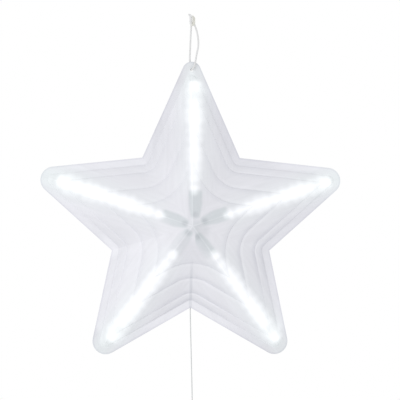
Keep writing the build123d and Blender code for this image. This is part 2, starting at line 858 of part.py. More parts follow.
# Cells: the middle one stands the other way up
cell_start = bay_top + plate_thickness
cells = []
for cell_index in range(cell_count):
    nub_up = cell_index % 2 == 0
    cell_x = (cell_index - (cell_count - 1) / 2) * cell_pitch
    nub_end = -cell_start if nub_up else -(bay_top + bay_length - plate_thickness)
    away = -1 if nub_up else 1
    cell_plane = Plane(
        origin=box_plane.from_local_coords(Vector(cell_x, nub_end, cell_axis)),
        x_dir=(1, 0, 0),
        z_dir=(0, 0, away),
    )
    with BuildPart(cell_plane) as cell:
        with BuildSketch(cell_plane):
            Circle(cell_nub_radius)
        extrude(amount=cell_nub_length)
        with BuildSketch(cell_plane.offset(cell_nub_length)):
            Circle(cell_diameter / 2)
        extrude(amount=cell_body_length)
    cell.part.label = f"battery_cell_{cell_index + 1}"
    cells.append(cell)

# End plates and the two strips that lead to the timer board
top_plate = -(bay_top + plate_thickness / 2)
bottom_plate = -(bay_top + bay_length - plate_thickness / 2)
bridge_width = plate_width + cell_pitch
tab_end = board_bottom
with BuildPart(box_plane) as contact_plates:
    with BuildSketch(box_plane.offset(cell_axis - plate_width / 2)):
        with Locations((-cell_pitch, top_plate), (cell_pitch, bottom_plate)):
            Rectangle(plate_width, plate_thickness)
        with Locations((cell_pitch / 2, top_plate), (-cell_pitch / 2, bottom_plate)):
            Rectangle(bridge_width, plate_thickness)
    extrude(amount=plate_width)
    with BuildSketch(box_plane.offset(timer_board_height)):
        with Locations((-cell_pitch, (top_plate + tab_end) / 2)):
            Rectangle(strip_width, tab_end - top_plate)
    extrude(amount=plate_thickness)
    with BuildSketch(box_plane.offset(back_wall)):
        with Locations((strip_x, (bottom_plate + board_bottom) / 2)):
            Rectangle(strip_width, board_bottom - bottom_plate + plate_thickness)
        with Locations(((strip_x + cell_pitch) / 2, bottom_plate)):
            Rectangle(cell_pitch - strip_x + strip_width, plate_thickness)
    extrude(amount=plate_thickness)
    with BuildSketch(box_plane.offset(back_wall)):
        with Locations((cell_pitch, bottom_plate)):
            Rectangle(strip_width, plate_thickness)
    extrude(amount=cell_axis - back_wall)
    with BuildSketch(box_plane.offset(back_wall)):
        with Locations((strip_x, board_bottom + 2 * plate_thickness)):
            Rectangle(strip_width, plate_thickness)
    extrude(amount=timer_board_height - back_wall)
contact_plates.part.label = "contact_plates"

# Springs at the flat ends of the cells, wound in half turns that narrow towards the cell
spring_rise = spring_room - spring_wire_diameter - 2 * screw_clearance
springs = []
for cell_index in range(cell_count):
    flat_down = cell_index % 2 == 0
    cell_x = (cell_index - (cell_count - 1) / 2) * cell_pitch
    plate_face = -(bay_top + bay_length - plate_thickness) if flat_down else -cell_start
    away = 1 if flat_down else -1
    spring_points = []
    for step in range(spring_half_turns + 1):
        share = step / spring_half_turns
        side = 1 if step % 2 == 0 else -1
        radius = spring_base_radius + (spring_top_radius - spring_base_radius) * share
        rise = spring_wire_diameter / 2 + screw_clearance + spring_rise * share
        spring_points.append(
            box_plane.from_local_coords(
                Vector(cell_x + side * radius, plate_face + away * rise, cell_axis)
            )
        )
    spring, spring_wire = make_winding(
        spring_points, (0, 1, 0), spring_wire_diameter, spring_wire_diameter
    )
    springs.append(spring)
    gap = least_gap(spring_wire, spring_wire_diameter, spring_top_radius * 2)
    print(f"spring {spring_wire.length:.1f} long, least gap {gap:.2f}")
with BuildPart() as contact_springs:
    for spring in springs:
        add(spring.part)
contact_springs.part.label = "contact_springs"

# Timer board, its parts and the slide switch
board_face = timer_board_height + timer_board_thickness
with BuildPart(box_plane) as timer_board:
    with BuildSketch(box_plane.offset(timer_board_height)):
        with Locations((0, timer_middle)):
            Rectangle(timer_board_length, timer_board_width)
    extrude(amount=timer_board_thickness)
timer_board.part.label = "timer_board"

part_x = (switch_length / 2 + timer_board_length / 2) / 2
with BuildPart(box_plane) as timer_parts:
    with BuildSketch(box_plane.offset(board_face)):
        with Locations((-part_x, timer_middle)):
            Rectangle(chip_width, chip_length)
    extrude(amount=chip_height)
    with BuildSketch(box_plane.offset(board_face)):
        with Locations((part_x, board_top - 2 * resistor_width)):
            Rectangle(resistor_length, resistor_width)
    extrude(amount=resistor_height)
    with Locations((part_x, board_bottom + resistor_width, board_face + crystal_radius)):
        Box(
            crystal_length,
            2 * crystal_radius,
            2 * crystal_radius,
        )
    fillet(
        timer_parts.edges().filter_by(Axis.X).group_by(SortBy.LENGTH)[-1],
        radius=crystal_radius / 2,
    )
timer_parts.part.label = "timer_parts"

slot_length = slider_stem_length + 2 * slider_travel + 2 * slider_clearance
slot_width = slider_stem_width + 2 * slider_clearance
switch_top = board_face + switch_height
with BuildPart(box_plane) as switch_body:
    with BuildSketch(box_plane.offset(board_face)):
        with Locations((0, timer_middle)):
            Rectangle(switch_length, switch_width)
    extrude(amount=switch_height)
    with BuildSketch(box_plane.offset(switch_top)):
        with Locations((0, timer_middle)):
            Rectangle(slot_length, slot_width)
    extrude(amount=-switch_slot_depth, mode=Mode.SUBTRACT)
switch_body.part.label = "switch_body"

knob_bottom = case_depth + cover_clearance
stem_bottom = switch_top - switch_slot_depth + cover_clearance
with BuildPart(box_plane) as switch_slider:
    with BuildSketch(box_plane.offset(stem_bottom)):
        with Locations((0, timer_middle)):
            Rectangle(slider_stem_length, slider_stem_width)
    extrude(amount=knob_bottom - stem_bottom)
    with BuildSketch(box_plane.offset(knob_bottom)):
        with Locations((0, timer_middle)):
            Rectangle(slider_knob_length, slider_knob_width)
    extrude(amount=slider_knob_height)
    with BuildSketch(box_plane.offset(knob_bottom + slider_knob_height)):
        with Locations((0, timer_middle)):
            with GridLocations(2 * slider_rib_width, 0, slider_rib_count, 1):
                Rectangle(slider_rib_width, slider_knob_width)
    extrude(amount=slider_rib_height)
switch_slider.part.label = "switch_slider"

# Screwed cover over the timer board, with the slot for the slider
with BuildPart(box_plane) as control_cover:
    with BuildSketch(box_plane.offset(tray_depth)):
        with Locations((0, -case_length / 2)):
            RectangleRounded(case_width, case_length, case_corner)
        with Locations((0, -rail_start)):
            Rectangle(
                2 * case_width,
                case_length,
                align=(Align.CENTER, Align.MAX),
                mode=Mode.SUBTRACT,
            )
        with Locations((0, timer_middle)):
            Rectangle(slot_length, slot_width, mode=Mode.SUBTRACT)
        with Locations(*control_screw_places):
            Circle(screw_radius + screw_clearance, mode=Mode.SUBTRACT)
    extrude(amount=cover_thickness)
    with BuildSketch(box_plane.offset(case_depth)):
        with Locations(*control_screw_places):
            Circle(screw_head_radius + screw_clearance)
    extrude(amount=-screw_head_height, mode=Mode.SUBTRACT)
control_cover.part.label = "control_cover"

control_screws = make_screws(
    box_plane.offset(case_depth - screw_head_height),
    screw_head_radius,
    screw_radius,
    cover_thickness - screw_head_height + control_screw_length - screw_clearance,
    control_screw_places,
)
control_screws.part.label = "control_screws"

# Strain relief: tapered collar outside, neck through the end wall, flange inside
with BuildPart(relief_plane) as strain_relief:
    with BuildSketch(relief_plane):
        with BuildLine():
            Polyline(
                (0, relief_collar_length),
                (relief_tip_radius, relief_collar_length),
                (relief_collar_radius, 0),
                (relief_neck_radius, 0),
                (relief_neck_radius, -end_wall),
                (relief_collar_radius, -end_wall),
                (relief_collar_radius, -end_wall - relief_inner_length),
                (0, -end_wall - relief_inner_length),
                close=True,
            )
        make_face()
    revolve(axis=Axis((tail_x, tail_y, box_top_height), (0, 0, 1)))
strain_relief.part.label = "strain_relief"

os.makedirs("parts", exist_ok=True)
pieces = [
    front_shell,
    rear_shell,
    *led_boards,
    *front_leds,
    *rear_leds,
    board_resistors,
    hub_base,
    hub_cap,
    board_screws,
    centre_screw,
    junction_board,
    link_pins,
    junction_cover,
    junction_screws,
    hanging_cord,
    hanging_knot,
    inner_cable,
    cable_stop,
    power_cable,
    cable_coil,
    coil_tie,
    cable_tail,
    battery_case,
    battery_cover,
    *cells,
    contact_plates,
    contact_springs,
    timer_board,
    timer_parts,
    switch_body,
    switch_slider,
    control_cover,
    control_screws,
    strain_relief,
]
for piece in pieces:
    export_step(piece.part, f"parts/{piece.part.label}.step")
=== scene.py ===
# %% [markdown]
# LED christmas star. Two translucent mouldings make a hollow five-armed star, lit by five
# strips of LEDs inside. It hangs on a loop of string, and a thin clear lead drops to a
# battery box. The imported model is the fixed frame: it gives every rigid part its shape and
# its place. This script adds the camera, the light, the flexible pieces and the finishes.

# %% Load the frame
import math

import bmesh
import bpy
from mathutils import Matrix, Vector


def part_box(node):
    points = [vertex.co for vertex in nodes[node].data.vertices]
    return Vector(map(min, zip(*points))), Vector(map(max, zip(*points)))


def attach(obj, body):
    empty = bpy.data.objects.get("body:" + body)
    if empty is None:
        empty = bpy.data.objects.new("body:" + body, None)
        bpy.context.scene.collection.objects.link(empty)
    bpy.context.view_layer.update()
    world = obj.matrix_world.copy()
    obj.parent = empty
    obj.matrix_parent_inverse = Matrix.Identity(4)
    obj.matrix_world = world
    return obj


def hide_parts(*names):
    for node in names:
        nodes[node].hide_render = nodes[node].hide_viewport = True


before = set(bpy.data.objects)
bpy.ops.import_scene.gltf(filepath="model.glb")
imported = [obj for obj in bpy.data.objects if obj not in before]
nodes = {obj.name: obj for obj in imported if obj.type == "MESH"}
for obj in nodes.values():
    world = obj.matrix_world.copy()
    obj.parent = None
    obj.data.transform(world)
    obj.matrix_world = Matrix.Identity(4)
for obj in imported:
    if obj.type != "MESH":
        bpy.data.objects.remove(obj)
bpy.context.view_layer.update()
scene = bpy.context.scene

# %% [markdown]
# The lens. The outline of the star in the photograph was fitted to its real outline: it is
# seen from 2.5 m away, with the star turned 3.5 degrees, tipped 1.6 degrees and leaning 0.3
# degrees in the picture. A product shot like this is made with a long lens, so the camera
# stands far off with a narrow angle. The star stays as it is and the camera takes the turn
# the other way round.

# %% Camera
STAR_CENTRE = Vector((0.0, 0.0, -0.264007))
PICTURE_WIDTH = 400
SENSOR_WIDTH = 36.0
PIXELS_PER_METRE = 750.0
DISTANCE = 2.5
CENTRE_IN_PICTURE = (190.8, 224.8)

turn = (
    Matrix.Rotation(math.radians(1.6), 3, "X")
    @ Matrix.Rotation(math.radians(3.5), 3, "Z")
    @ Matrix.Rotation(math.radians(0.3), 3, "Y")
)
back = turn.transposed()
offset = Vector(
    (
        (CENTRE_IN_PICTURE[0] - PICTURE_WIDTH / 2) / PIXELS_PER_METRE,
        DISTANCE,
        (PICTURE_WIDTH / 2 - CENTRE_IN_PICTURE[1]) / PIXELS_PER_METRE,
    )
)
right, forward, up = (back @ Vector(axis) for axis in ((1, 0, 0), (0, 1, 0), (0, 0, 1)))
camera_data = bpy.data.cameras.new("product_lens")
camera_data.sensor_width = SENSOR_WIDTH
camera_data.lens = SENSOR_WIDTH * PIXELS_PER_METRE * DISTANCE / PICTURE_WIDTH
camera_data.clip_end = 20
camera = bpy.data.objects.new("product_camera", camera_data)
scene.collection.objects.link(camera)
facing = Matrix((right, up, -forward)).transposed().to_4x4()
camera.matrix_world = Matrix.Translation(STAR_CENTRE - back @ offset) @ facing
scene.camera = camera
print("camera at", [round(v, 3) for v in camera.matrix_world.translation])

# %% [markdown]
# Cords. The string and the lead are flexible, so the frame's solids only hold their place.
# A cord is best drawn as one smooth line with a round section: the line is a NURBS curve
# that a handful of control points pull into shape, and the section is the curve's bevel.


# %% Drawing a cord
def cord_curve(name, points, diameter):
    """A round cord along one smooth line, from control points in metres."""
    data = bpy.data.curves.new(name, "CURVE")
    data.dimensions = "3D"
    data.bevel_depth = 1.0
    data.bevel_resolution = 4
    data.resolution_u = 6
    data.use_fill_caps = True
    line = data.splines.new("NURBS")
    line.points.add(len(points) - 1)
    for spot, place in zip(line.points, points):
        spot.co = (*place, 1)
        spot.radius = diameter / 2
    line.order_u = 3
    line.use_endpoint_u = True
    piece = bpy.data.objects.new(name, data)
    scene.collection.objects.link(piece)
    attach(piece, "lantern")
    return piece


def measured_length(piece):
    """Length of a cord's centre line in metres, read from its curve with no bevel."""
    probe = bpy.data.objects.new("probe", piece.data.copy())
    probe.data.bevel_depth = 0
    scene.collection.objects.link(probe)
    shape = probe.evaluated_get(bpy.context.evaluated_depsgraph_get())
    mesh = bpy.data.meshes.new_from_object(shape)
    spots = [vertex.co.copy() for vertex in mesh.vertices]
    bpy.data.objects.remove(probe)
    bpy.data.meshes.remove(mesh)
    return sum((b - a).length for a, b in zip(spots, spots[1:]))


print("cord helpers:", cord_curve.__name__, measured_length.__name__)

# %% [markdown]
# The string. A thin twisted cord goes through the hole in the top arm. The strand behind
# hangs straight, because it takes the weight, and the one in front comes round the flange
# and bows out, because it is a little longer.

# %% Hanging string
STRING_DIAMETER = 0.0024
string_points = [
    (-0.0008, 0.0006, 0.0040),
    (-0.0009, 0.0006, -0.0035),
    (-0.0013, 0.0009, -0.0085),
    (-0.0023, 0.0027, -0.0380),
    (-0.0024, 0.0030, -0.0440),
    (-0.0017, 0.0033, -0.0505),
    (-0.0005, 0.0033, -0.0580),
    (0.0003, -0.0033, -0.0580),
    (0.0034, -0.0033, -0.0535),
    (0.0049, -0.0031, -0.0470),
    (0.0063, -0.0023, -0.0375),
    (0.0090, -0.0016, -0.0262),
    (0.0084, -0.0010, -0.0150),
    (0.0070, -0.0007, -0.0080),
    (0.0056, -0.0006, -0.0030),
    (0.0040, -0.0006, 0.0008),
    (0.0030, -0.0006, 0.0040),
]
string = cord_curve("string_loop", string_points, STRING_DIAMETER)
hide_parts("hanging_cord")
string_length = measured_length(string)
print("string loop", round(string_length, 4), "m")

# %% [markdown]
# The knot. Both ends of the string are tied together in one overhand knot: they come up on
# the left, cross over the front, climb the right side, go down again behind and end up
# through the middle. A knot is still string, so it is drawn as string: one thick line for
# the two ends side by side, whose control points follow that way round. Its two ends are
# single tails, so there the line is as thin as the string.

# %% Knot
PAIR_DIAMETER = 0.0034
knot_points = [
    (-0.0046, 0.0003, 0.0152),
    (-0.0031, 0.0000, 0.0158),
    (-0.0019, -0.0008, 0.0140),
    (-0.0016, -0.0014, 0.0108),
    (-0.0016, -0.0018, 0.0075),
    (-0.0017, -0.0021, 0.0040),
    (-0.0007, -0.0024, 0.0020),
    (0.0016, -0.0022, 0.0018),
    (0.0028, -0.0012, 0.0043),
    (0.0028, -0.0003, 0.0078),
    (0.0028, 0.0006, 0.0110),
    (0.0012, 0.0014, 0.0128),
    (-0.0008, 0.0019, 0.0112),
    (-0.0014, 0.0020, 0.0080),
    (-0.0010, 0.0018, 0.0040),
    (0.0006, 0.0010, 0.0020),
    (0.0014, -0.0004, 0.0040),
    (0.0007, -0.0016, 0.0072),
    (0.0007, -0.0017, 0.0105),
    (0.0012, -0.0012, 0.0130),
    (0.0018, -0.0009, 0.0138),
]
TAIL_POINTS = (0, 1, -2, -1)
knot = cord_curve("knot_turns", knot_points, PAIR_DIAMETER)
for number in TAIL_POINTS:
    knot.data.splines[0].points[number].radius = STRING_DIAMETER / 2
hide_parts("hanging_knot")
print("knot", round(measured_length(knot), 4), "m of string pair")

# %% [markdown]
# The lead. A thin clear cable leaves the seam at the bottom and hangs down, pulled straight
# by the battery box. Its spare length is tied up in a small coil, below the picture. The
# visible stretch, the coil and the tail are one cable, so they are one line: the turns of
# the coil are more control points, 12 for each turn, that spiral in and out in four layers.

# %% Power lead
POINTS_PER_TURN = 12
LEAD_DIAMETER = 0.0015
EXIT_HEIGHT = -0.374507
COIL_HEIGHT = -0.525007
LEAD_X = 0.0032
COIL_RADIUS = 0.0115
COIL_PITCH = 0.0023
LAYER_PITCH = 0.0022
LAYERS = 4
HALF_TURNS = 5
COIL_LEAD = 0.003
TAIL_END = -0.550007
HUG = 1 / math.cos(math.pi / POINTS_PER_TURN)

lead_points = [
    (0.0, 0.0, EXIT_HEIGHT),
    (0.0, 0.0, -0.386007),
    (0.00034, 0.0, -0.398007),
    (0.0026, 0.0, -0.476007),
    (LEAD_X, 0.0, -0.498007),
    (LEAD_X, 0.0, COIL_HEIGHT + COIL_LEAD),
]
coil_stops = [(COIL_RADIUS, 0.0)]
for layer in range(LAYERS):
    radius, depth = coil_stops[-1]
    inwards = -1 if layer % 2 == 0 else 1
    growth = inwards * COIL_PITCH / 2
    coil_stops += [(radius + growth * (half + 1), depth) for half in range(HALF_TURNS)]
    if layer < LAYERS - 1:
        coil_stops.append((coil_stops[-1][0], depth + LAYER_PITCH))
coil_stops.append((coil_stops[-1][0] + COIL_PITCH / 2, coil_stops[-1][1]))
coil_x = LEAD_X - COIL_RADIUS
for half, (start, end) in enumerate(zip(coil_stops, coil_stops[1:])):
    for step in range(POINTS_PER_TURN // 2):
        share = (step + 0.5) / (POINTS_PER_TURN // 2)
        angle = -math.pi * (half + share)
        radius = (start[0] + (end[0] - start[0]) * share) * HUG
        depth = start[1] + (end[1] - start[1]) * share
        lead_points.append(
            (coil_x + radius * math.cos(angle), depth, COIL_HEIGHT + radius * math.sin(angle))
        )
tail_x = coil_x + coil_stops[-1][0]
tail_y = coil_stops[-1][1]
lead_points += [(tail_x, tail_y, COIL_HEIGHT - COIL_LEAD), (tail_x, tail_y, TAIL_END)]
lead = cord_curve("power_lead", lead_points, LEAD_DIAMETER)
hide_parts("power_cable", "cable_coil", "cable_tail")
lead_length = measured_length(lead)
print("power lead", round(lead_length, 4), "m in", len(coil_stops) - 1, "half turns")

# %% [markdown]
# The lead's hidden end. Inside the shell the same cable runs from the junction board behind
# the hub down to the seam, where a crimped stop holds it. It is a cord of its own, because
# the stop ends the one part and starts the other, and it has to be there when a half shell is
# taken off.

# %% Lead inside the shell
inner_points = [
    (0.0, 0.00575, -0.2710),
    (0.0, 0.00575, -0.2930),
    (0.0, 0.0, -0.33473),
    (0.0, 0.0, EXIT_HEIGHT),
]
inner_lead = cord_curve("inner_lead", inner_points, LEAD_DIAMETER)
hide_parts("inner_cable")
inner_length = measured_length(inner_lead)
print("inner lead", round(inner_length, 4), "m")

# %% [markdown]
# Finishes. Every finish is a material made of nodes, and short helpers keep the lists of
# nodes readable. The first ones add a node, do a sum and make soft steps between two values.
# A sum goes into the tree that its values come from.


# %% Helpers for nodes
def fill(socket, value):
    """Wire a socket to another node's output, or give it a plain value."""
    if isinstance(value, bpy.types.NodeSocket):
        socket.id_data.links.new(value, socket)
    else:
        socket.default_value = value


def add(tree, kind, inputs=None, **settings):
    """Add a node to a tree, set its options and fill its inputs."""
    made = tree.nodes.new("ShaderNode" + kind)
    for label, value in settings.items():
        setattr(made, label, value)
    for label, value in (inputs or {}).items():
        fill(made.inputs[label], value)
    return made


def tree_of(values):
    """The tree of the first value that comes from a node."""
    return next(value.id_data for value in values if isinstance(value, bpy.types.NodeSocket))


def calc(operation, *values):
    """One Math node; its output is the answer."""
    return add(tree_of(values), "Math", dict(enumerate(values)), operation=operation).outputs[0]


def product(first, *others):
    """Values multiplied together."""
    for other in others:
        first = calc("MULTIPLY", first, other)
    return first


def soft_step(value, start, end, low=0.0, high=1.0):
    """Low below start, high above end, and smooth between them."""
    ends = {"Value": value, "From Min": start, "From Max": end, "To Min": low, "To Max": high}
    return add(value.id_data, "MapRange", ends, interpolation_type="SMOOTHSTEP").outputs["Result"]


def soft_fall(value, start, end):
    """1 below start, 0 above end, and smooth between them."""
    return soft_step(value, start, end, 1.0, 0.0)


def window(value, start, full, fade, end):
    """0, up to 1 from start to full, and down to 0 again from fade to end."""
    return product(soft_step(value, start, full), soft_fall(value, fade, end))


sums = (fill, add, tree_of, calc, product, soft_step, soft_fall, window)
print("node helpers:", *(helper.__name__ for helper in sums))

# %% [markdown]
# Colours and places. Most effects start from a place on the surface. These helpers mix two
# colours, split a place into three numbers, measure a flat distance and read noise.


# %% Helpers for colours and places
def tint(share, first, second, blend="MIX"):
    """Mix two colours."""
    values = {0: share, 6: first, 7: second}
    made = add(tree_of(values.values()), "Mix", values, data_type="RGBA", blend_type=blend)
    return made.outputs[2]


def toned(colour, tone):
    """A colour made lighter or darker by a tone near 1."""
    return tint(1.0, colour, tone, "MULTIPLY")


def parts(place):
    """The X, Y and Z of a place."""
    return add(place.id_data, "SeparateXYZ", {"Vector": place}).outputs


def length(x, y):
    """How long the flat step (x, y) is."""
    tree = tree_of((x, y))
    step = add(tree, "CombineXYZ", {"X": x, "Y": y}).outputs[0]
    return add(tree, "VectorMath", {0: step}, operation="LENGTH").outputs["Value"]


def noise(place, scale, detail=2.0):
    """Noise from 0 to 1 at a place; a larger scale is finer."""
    inputs = {"Vector": place, "Scale": scale, "Detail": detail}
    return add(place.id_data, "TexNoise", inputs).outputs["Fac"]


def profile_curve(distance, span, points):
    """A value that changes with a distance, read from a list of (distance, value up to 1)."""
    made = add(distance.id_data, "FloatCurve", {"Value": calc("DIVIDE", distance, span)})
    line = made.mapping.curves[0]
    line.points[0].location = (0, points[0][1])
    line.points[1].location = (1, points[-1][1])
    for station, value in points:
        line.points.new(station / span, value)
    made.mapping.update()
    return made.outputs[0]


readers = (tint, toned, parts, length, noise, profile_curve)
print("more helpers:", *(helper.__name__ for helper in readers))

# %% [markdown]
# Groups. An effect that several finishes share is a node group: it is built once and placed
# in each material with its own values. Some of a group's outputs can feed the next one.


# %% Helpers for groups
def new_group(name, inputs, outputs, colours=()):
    """A node group and its two ends; a place or a UV map comes in as a vector."""
    group = bpy.data.node_groups.new(name, "ShaderNodeTree")
    for label in inputs:
        kind = "NodeSocketVector" if label in ("Place", "UV") else "NodeSocketFloat"
        group.interface.new_socket(label, in_out="INPUT", socket_type=kind)
    for label in outputs:
        kind = "NodeSocketColor" if label in colours else "NodeSocketFloat"
        group.interface.new_socket(label, in_out="OUTPUT", socket_type=kind)
    print("group", name, "gives", *outputs)
    ends = group.nodes.new("NodeGroupInput"), group.nodes.new("NodeGroupOutput")
    return group, ends[0].outputs, ends[1].inputs


def use_group(group, inputs):
    """Place a group in the tree of what feeds it, with its own values."""
    return add(tree_of(inputs.values()), "Group", inputs, node_tree=group).outputs


def pick(outputs, *labels):
    """Some of a group's outputs, to feed another group."""
    return {label: outputs[label] for label in labels}


print("group helpers:", new_group.__name__, use_group.__name__, pick.__name__)

# %% [markdown]
# Materials. Each finish starts from the Principled shader. What is the same all over is set
# on the shader's own sockets, and what changes over the surface is wired to them.


# %% Helpers for materials
def new_material(name, **constants):
    """A Principled material, its shader and the object coordinates."""
    material = bpy.data.materials.new(name)
    material.use_nodes = True
    shader = material.node_tree.nodes["Principled BSDF"]
    for label, value in constants.items():
        shader.inputs[label.replace("_", " ")].default_value = value
    return material, shader, add(material.node_tree, "TexCoord").outputs["Object"]


def raise_surface(shader, height, depth, reach):
    """Feed a height map to the shader as a bump."""
    bump = add(shader.id_data, "Bump", {"Strength": depth, "Distance": reach, "Height": height})
    fill(shader.inputs["Normal"], bump.outputs["Normal"])


def dress(material, *names):
    """Give a material to frame nodes or to pieces."""
    for name in names:
        piece = nodes[name] if name in nodes else bpy.data.objects[name]
        if not piece.material_slots:
            piece.data.materials.append(material)
        for slot in piece.material_slots:
            slot.material = material
    print(material.name, "->", *names)


print("material helpers:", new_material.__name__, raise_surface.__name__, dress.__name__)

# %% [markdown]
# Moulded grain. Every plastic part comes out of a steel mould whose skin is a little rough,
# and the plastic never takes exactly one shade. Both come from noise: a coarse one shifts
# the tone by a percent or two, a fine one is the height of the grain.

# %% Group: moulded grain
moulded_grain, grain_in, grain_out = new_group(
    "moulded_grain",
    ("Place", "Grain Size", "Tone Swing"),
    ("Tone", "Height", "Polish"),
)
grain_rate = calc("DIVIDE", 1.0, grain_in["Grain Size"])
drift = calc("SUBTRACT", noise(grain_in["Place"], 28.0, 3.0), 0.5)
fill(grain_out["Tone"], calc("MULTIPLY_ADD", drift, grain_in["Tone Swing"], 1.0))
fill(grain_out["Height"], noise(grain_in["Place"], grain_rate))
fill(grain_out["Polish"], calc("MULTIPLY_ADD", drift, 0.12, 1.0))


def grain_at(place, size, swing):
    """The grain at a place, and how far it swings the tone."""
    return use_group(moulded_grain, {"Place": place, "Grain Size": size, "Tone Swing": swing})


def add_grain(shader, place, colour, size, swing, depth, reach):
    """A colour with grain in it, as tone and as height."""
    grain = grain_at(place, size, swing)
    fill(shader.inputs["Base Color"], toned(colour, grain["Tone"]))
    raise_surface(shader, grain["Height"], depth, reach)
    return grain


# %% [markdown]
# One arm for five. The five arms are alike, so whatever the shell shows is drawn once and
# repeated. The angle round the centre is wrapped into one arm, like folded paper, which
# leaves two numbers: the distance along the arm and the distance across it. The side and the
# arm's own angle come out as well, for what differs from arm to arm. The same fold is used
# again for what lies behind the shell, leaned a little, because it is seen past the ridge.

# %% Group: one arm
ARMS = 5
FIFTH = 2 * math.pi / ARMS
one_arm, arm_in, arm_out = new_group(
    "one_arm",
    ("Place", "Side Shift", "Lean", "Lift"),
    ("Along", "Across", "Side", "Arm"),
)
arm_place = parts(arm_in["Place"])
leaning = calc("MULTIPLY_ADD", arm_place["Y"], arm_in["Lean"], arm_in["Side Shift"])
arm_x = calc("SUBTRACT", arm_place["X"], leaning)
arm_z = calc("SUBTRACT", arm_place["Z"], calc("ADD", arm_in["Lift"], STAR_CENTRE.z))
round_angle = calc("ARCTAN2", arm_x, arm_z)
arm_angle = calc("WRAP", round_angle, FIFTH / 2, -FIFTH / 2)
reach = length(arm_x, arm_z)
side_way = product(reach, calc("SINE", arm_angle))
fill(arm_out["Along"], product(reach, calc("COSINE", arm_angle)))
fill(arm_out["Across"], calc("ABSOLUTE", side_way))
fill(arm_out["Side"], side_way)
fill(arm_out["Arm"], calc("SUBTRACT", round_angle, arm_angle))


def on_arm(arm, fifths):
    """1 on the arm that is this many fifths of a turn from the top one."""
    return calc("COMPARE", arm, fifths * FIFTH, FIFTH / 4)


def towards(place, way):
    """How far a place lies from the star's centre in a flat direction (x, z)."""
    spot = parts(place)
    rise = product(calc("SUBTRACT", spot["Z"], STAR_CENTRE.z), way[1])
    return calc("MULTIPLY_ADD", spot["X"], way[0], rise)


# %% [markdown]
# Light through the shell. The LEDs sit on five straight boards, so their light reaches the
# frosted shell as five bright bands with soft edges that swell at each LED. Ray tracing it is
# slow and noisy, so the bands are drawn where the light lands. A curve gives the band's width
# and light at each distance from the centre, and noise makes the swelling uneven.

# %% Group: lit strip
FIRST_LED = 0.050
LED_PITCH = 0.0126
LED_SWELL = 0.045
STRIP_REACH = 0.22
BAND_TOP = 0.02
BAND_PROFILE = [
    (0.0370, 0.0060, 0.00), (0.0400, 0.0067, 0.08), (0.0453, 0.0087, 0.24),
    (0.0507, 0.0093, 0.25), (0.0547, 0.0100, 0.17), (0.0613, 0.0112, 0.23),
    (0.0693, 0.0128, 0.24), (0.0800, 0.0147, 0.25), (0.0933, 0.0160, 0.28),
    (0.1067, 0.0147, 0.28), (0.1200, 0.0153, 0.28), (0.1333, 0.0151, 0.32),
    (0.1467, 0.0173, 0.29), (0.1600, 0.0153, 0.29), (0.1733, 0.0187, 0.20),
    (0.1840, 0.0140, 0.33), (0.1920, 0.0107, 0.12), (0.1973, 0.0080, 0.00),
]
lit_strip, strip_in, strip_out = new_group(
    "lit_strip", ("Along", "Across", "Arm"), ("Glow", "Halo")
)
strip_along, strip_across = strip_in["Along"], strip_in["Across"]
band_widths = [(distance, width / BAND_TOP) for distance, width, _ in BAND_PROFILE]
band_lights = [(distance, light) for distance, _, light in BAND_PROFILE]
band_reach = profile_curve(strip_along, STRIP_REACH, band_widths)
band_light = profile_curve(strip_along, STRIP_REACH, band_lights)
from_first = calc("SUBTRACT", strip_along, FIRST_LED)
beat = calc("COSINE", product(from_first, 2 * math.pi / LED_PITCH))
uneven_place = add(lit_strip, "CombineXYZ", {"X": strip_along, "Y": strip_in["Arm"]})
uneven = calc("MULTIPLY_ADD", noise(uneven_place.outputs[0], 60.0, 1.0), 0.24, 0.88)
swell = calc("MULTIPLY_ADD", beat, LED_SWELL, uneven)
side_fall = soft_fall(strip_across, 0.0, product(band_reach, product(swell, BAND_TOP)))
fill(strip_out["Glow"], product(side_fall, product(band_light, swell)))
halo_growth = soft_step(strip_along, 0.09, 0.21, 0.4, 1.0)
halo_length = product(soft_step(strip_along, 0.030, 0.060), halo_growth)
fill(strip_out["Halo"], product(soft_fall(strip_across, 0.002, 0.034), halo_length))

# %% [markdown]
# Board ends. The inner end of each LED board carries no LED. It tapers to the hub, and its
# shadow on the shell is painted as a grey-green blade with one darker spot: the painted shadow
# of its screw and resistor. The ridges bend what lies behind them, so most blades are painted a
# little to one side. The hub's shadow is painted as a weak shade between them. The shell's
# lower left is lit from outside as well, so the blade is faint there.

# %% Group: board end shadows
PALE_SIDE = (-0.588, -0.809)
BLADE_ASIDE = ((1, -0.0020), (2, 0.0065), (-2, 0.0020), (-1, -0.0018))
BLADE_WIDTH = {"From Min": 0.007, "From Max": 0.027, "To Min": 0.0050, "To Max": 0.0088}
BLADE_SPAN = (0.0050, 0.0130, 0.042, 0.049)
BLADE_BLUR = 0.0022
PART_PLACE = 0.0135
blade_shadow_group, blade_in, blade_out = new_group(
    "board_end_shadow",
    ("Place", "Along", "Side", "Arm", "Aside"),
    ("Shade", "Part Shadow"),
)
aside = 0.0
for fifths, off in BLADE_ASIDE:
    aside = calc("MULTIPLY_ADD", on_arm(blade_in["Arm"], fifths), off, aside)
blade_side = calc("SUBTRACT", blade_in["Side"], product(aside, blade_in["Aside"]))
blade_along, blade_across = blade_in["Along"], calc("ABSOLUTE", blade_side)
blade_half = add(blade_shadow_group, "MapRange", {"Value": blade_along, **BLADE_WIDTH}).outputs[0]
blade_low = calc("SUBTRACT", blade_half, BLADE_BLUR)
blade_high = calc("ADD", blade_half, BLADE_BLUR)
blade_length = window(blade_along, *BLADE_SPAN)
# The blade is the board end's shadow, painted into the shell's colour.
blade_area = product(soft_fall(blade_across, blade_low, blade_high), blade_length)
pale = soft_step(towards(blade_in["Place"], PALE_SIDE), 0.008, 0.022, 1.0, 0.38)
clouded = calc("MULTIPLY_ADD", noise(blade_in["Place"], 130.0), 0.7, 0.65)
hub_shade = soft_step(length(blade_along, blade_across), 0.003, 0.015, 0.45, 0.0)
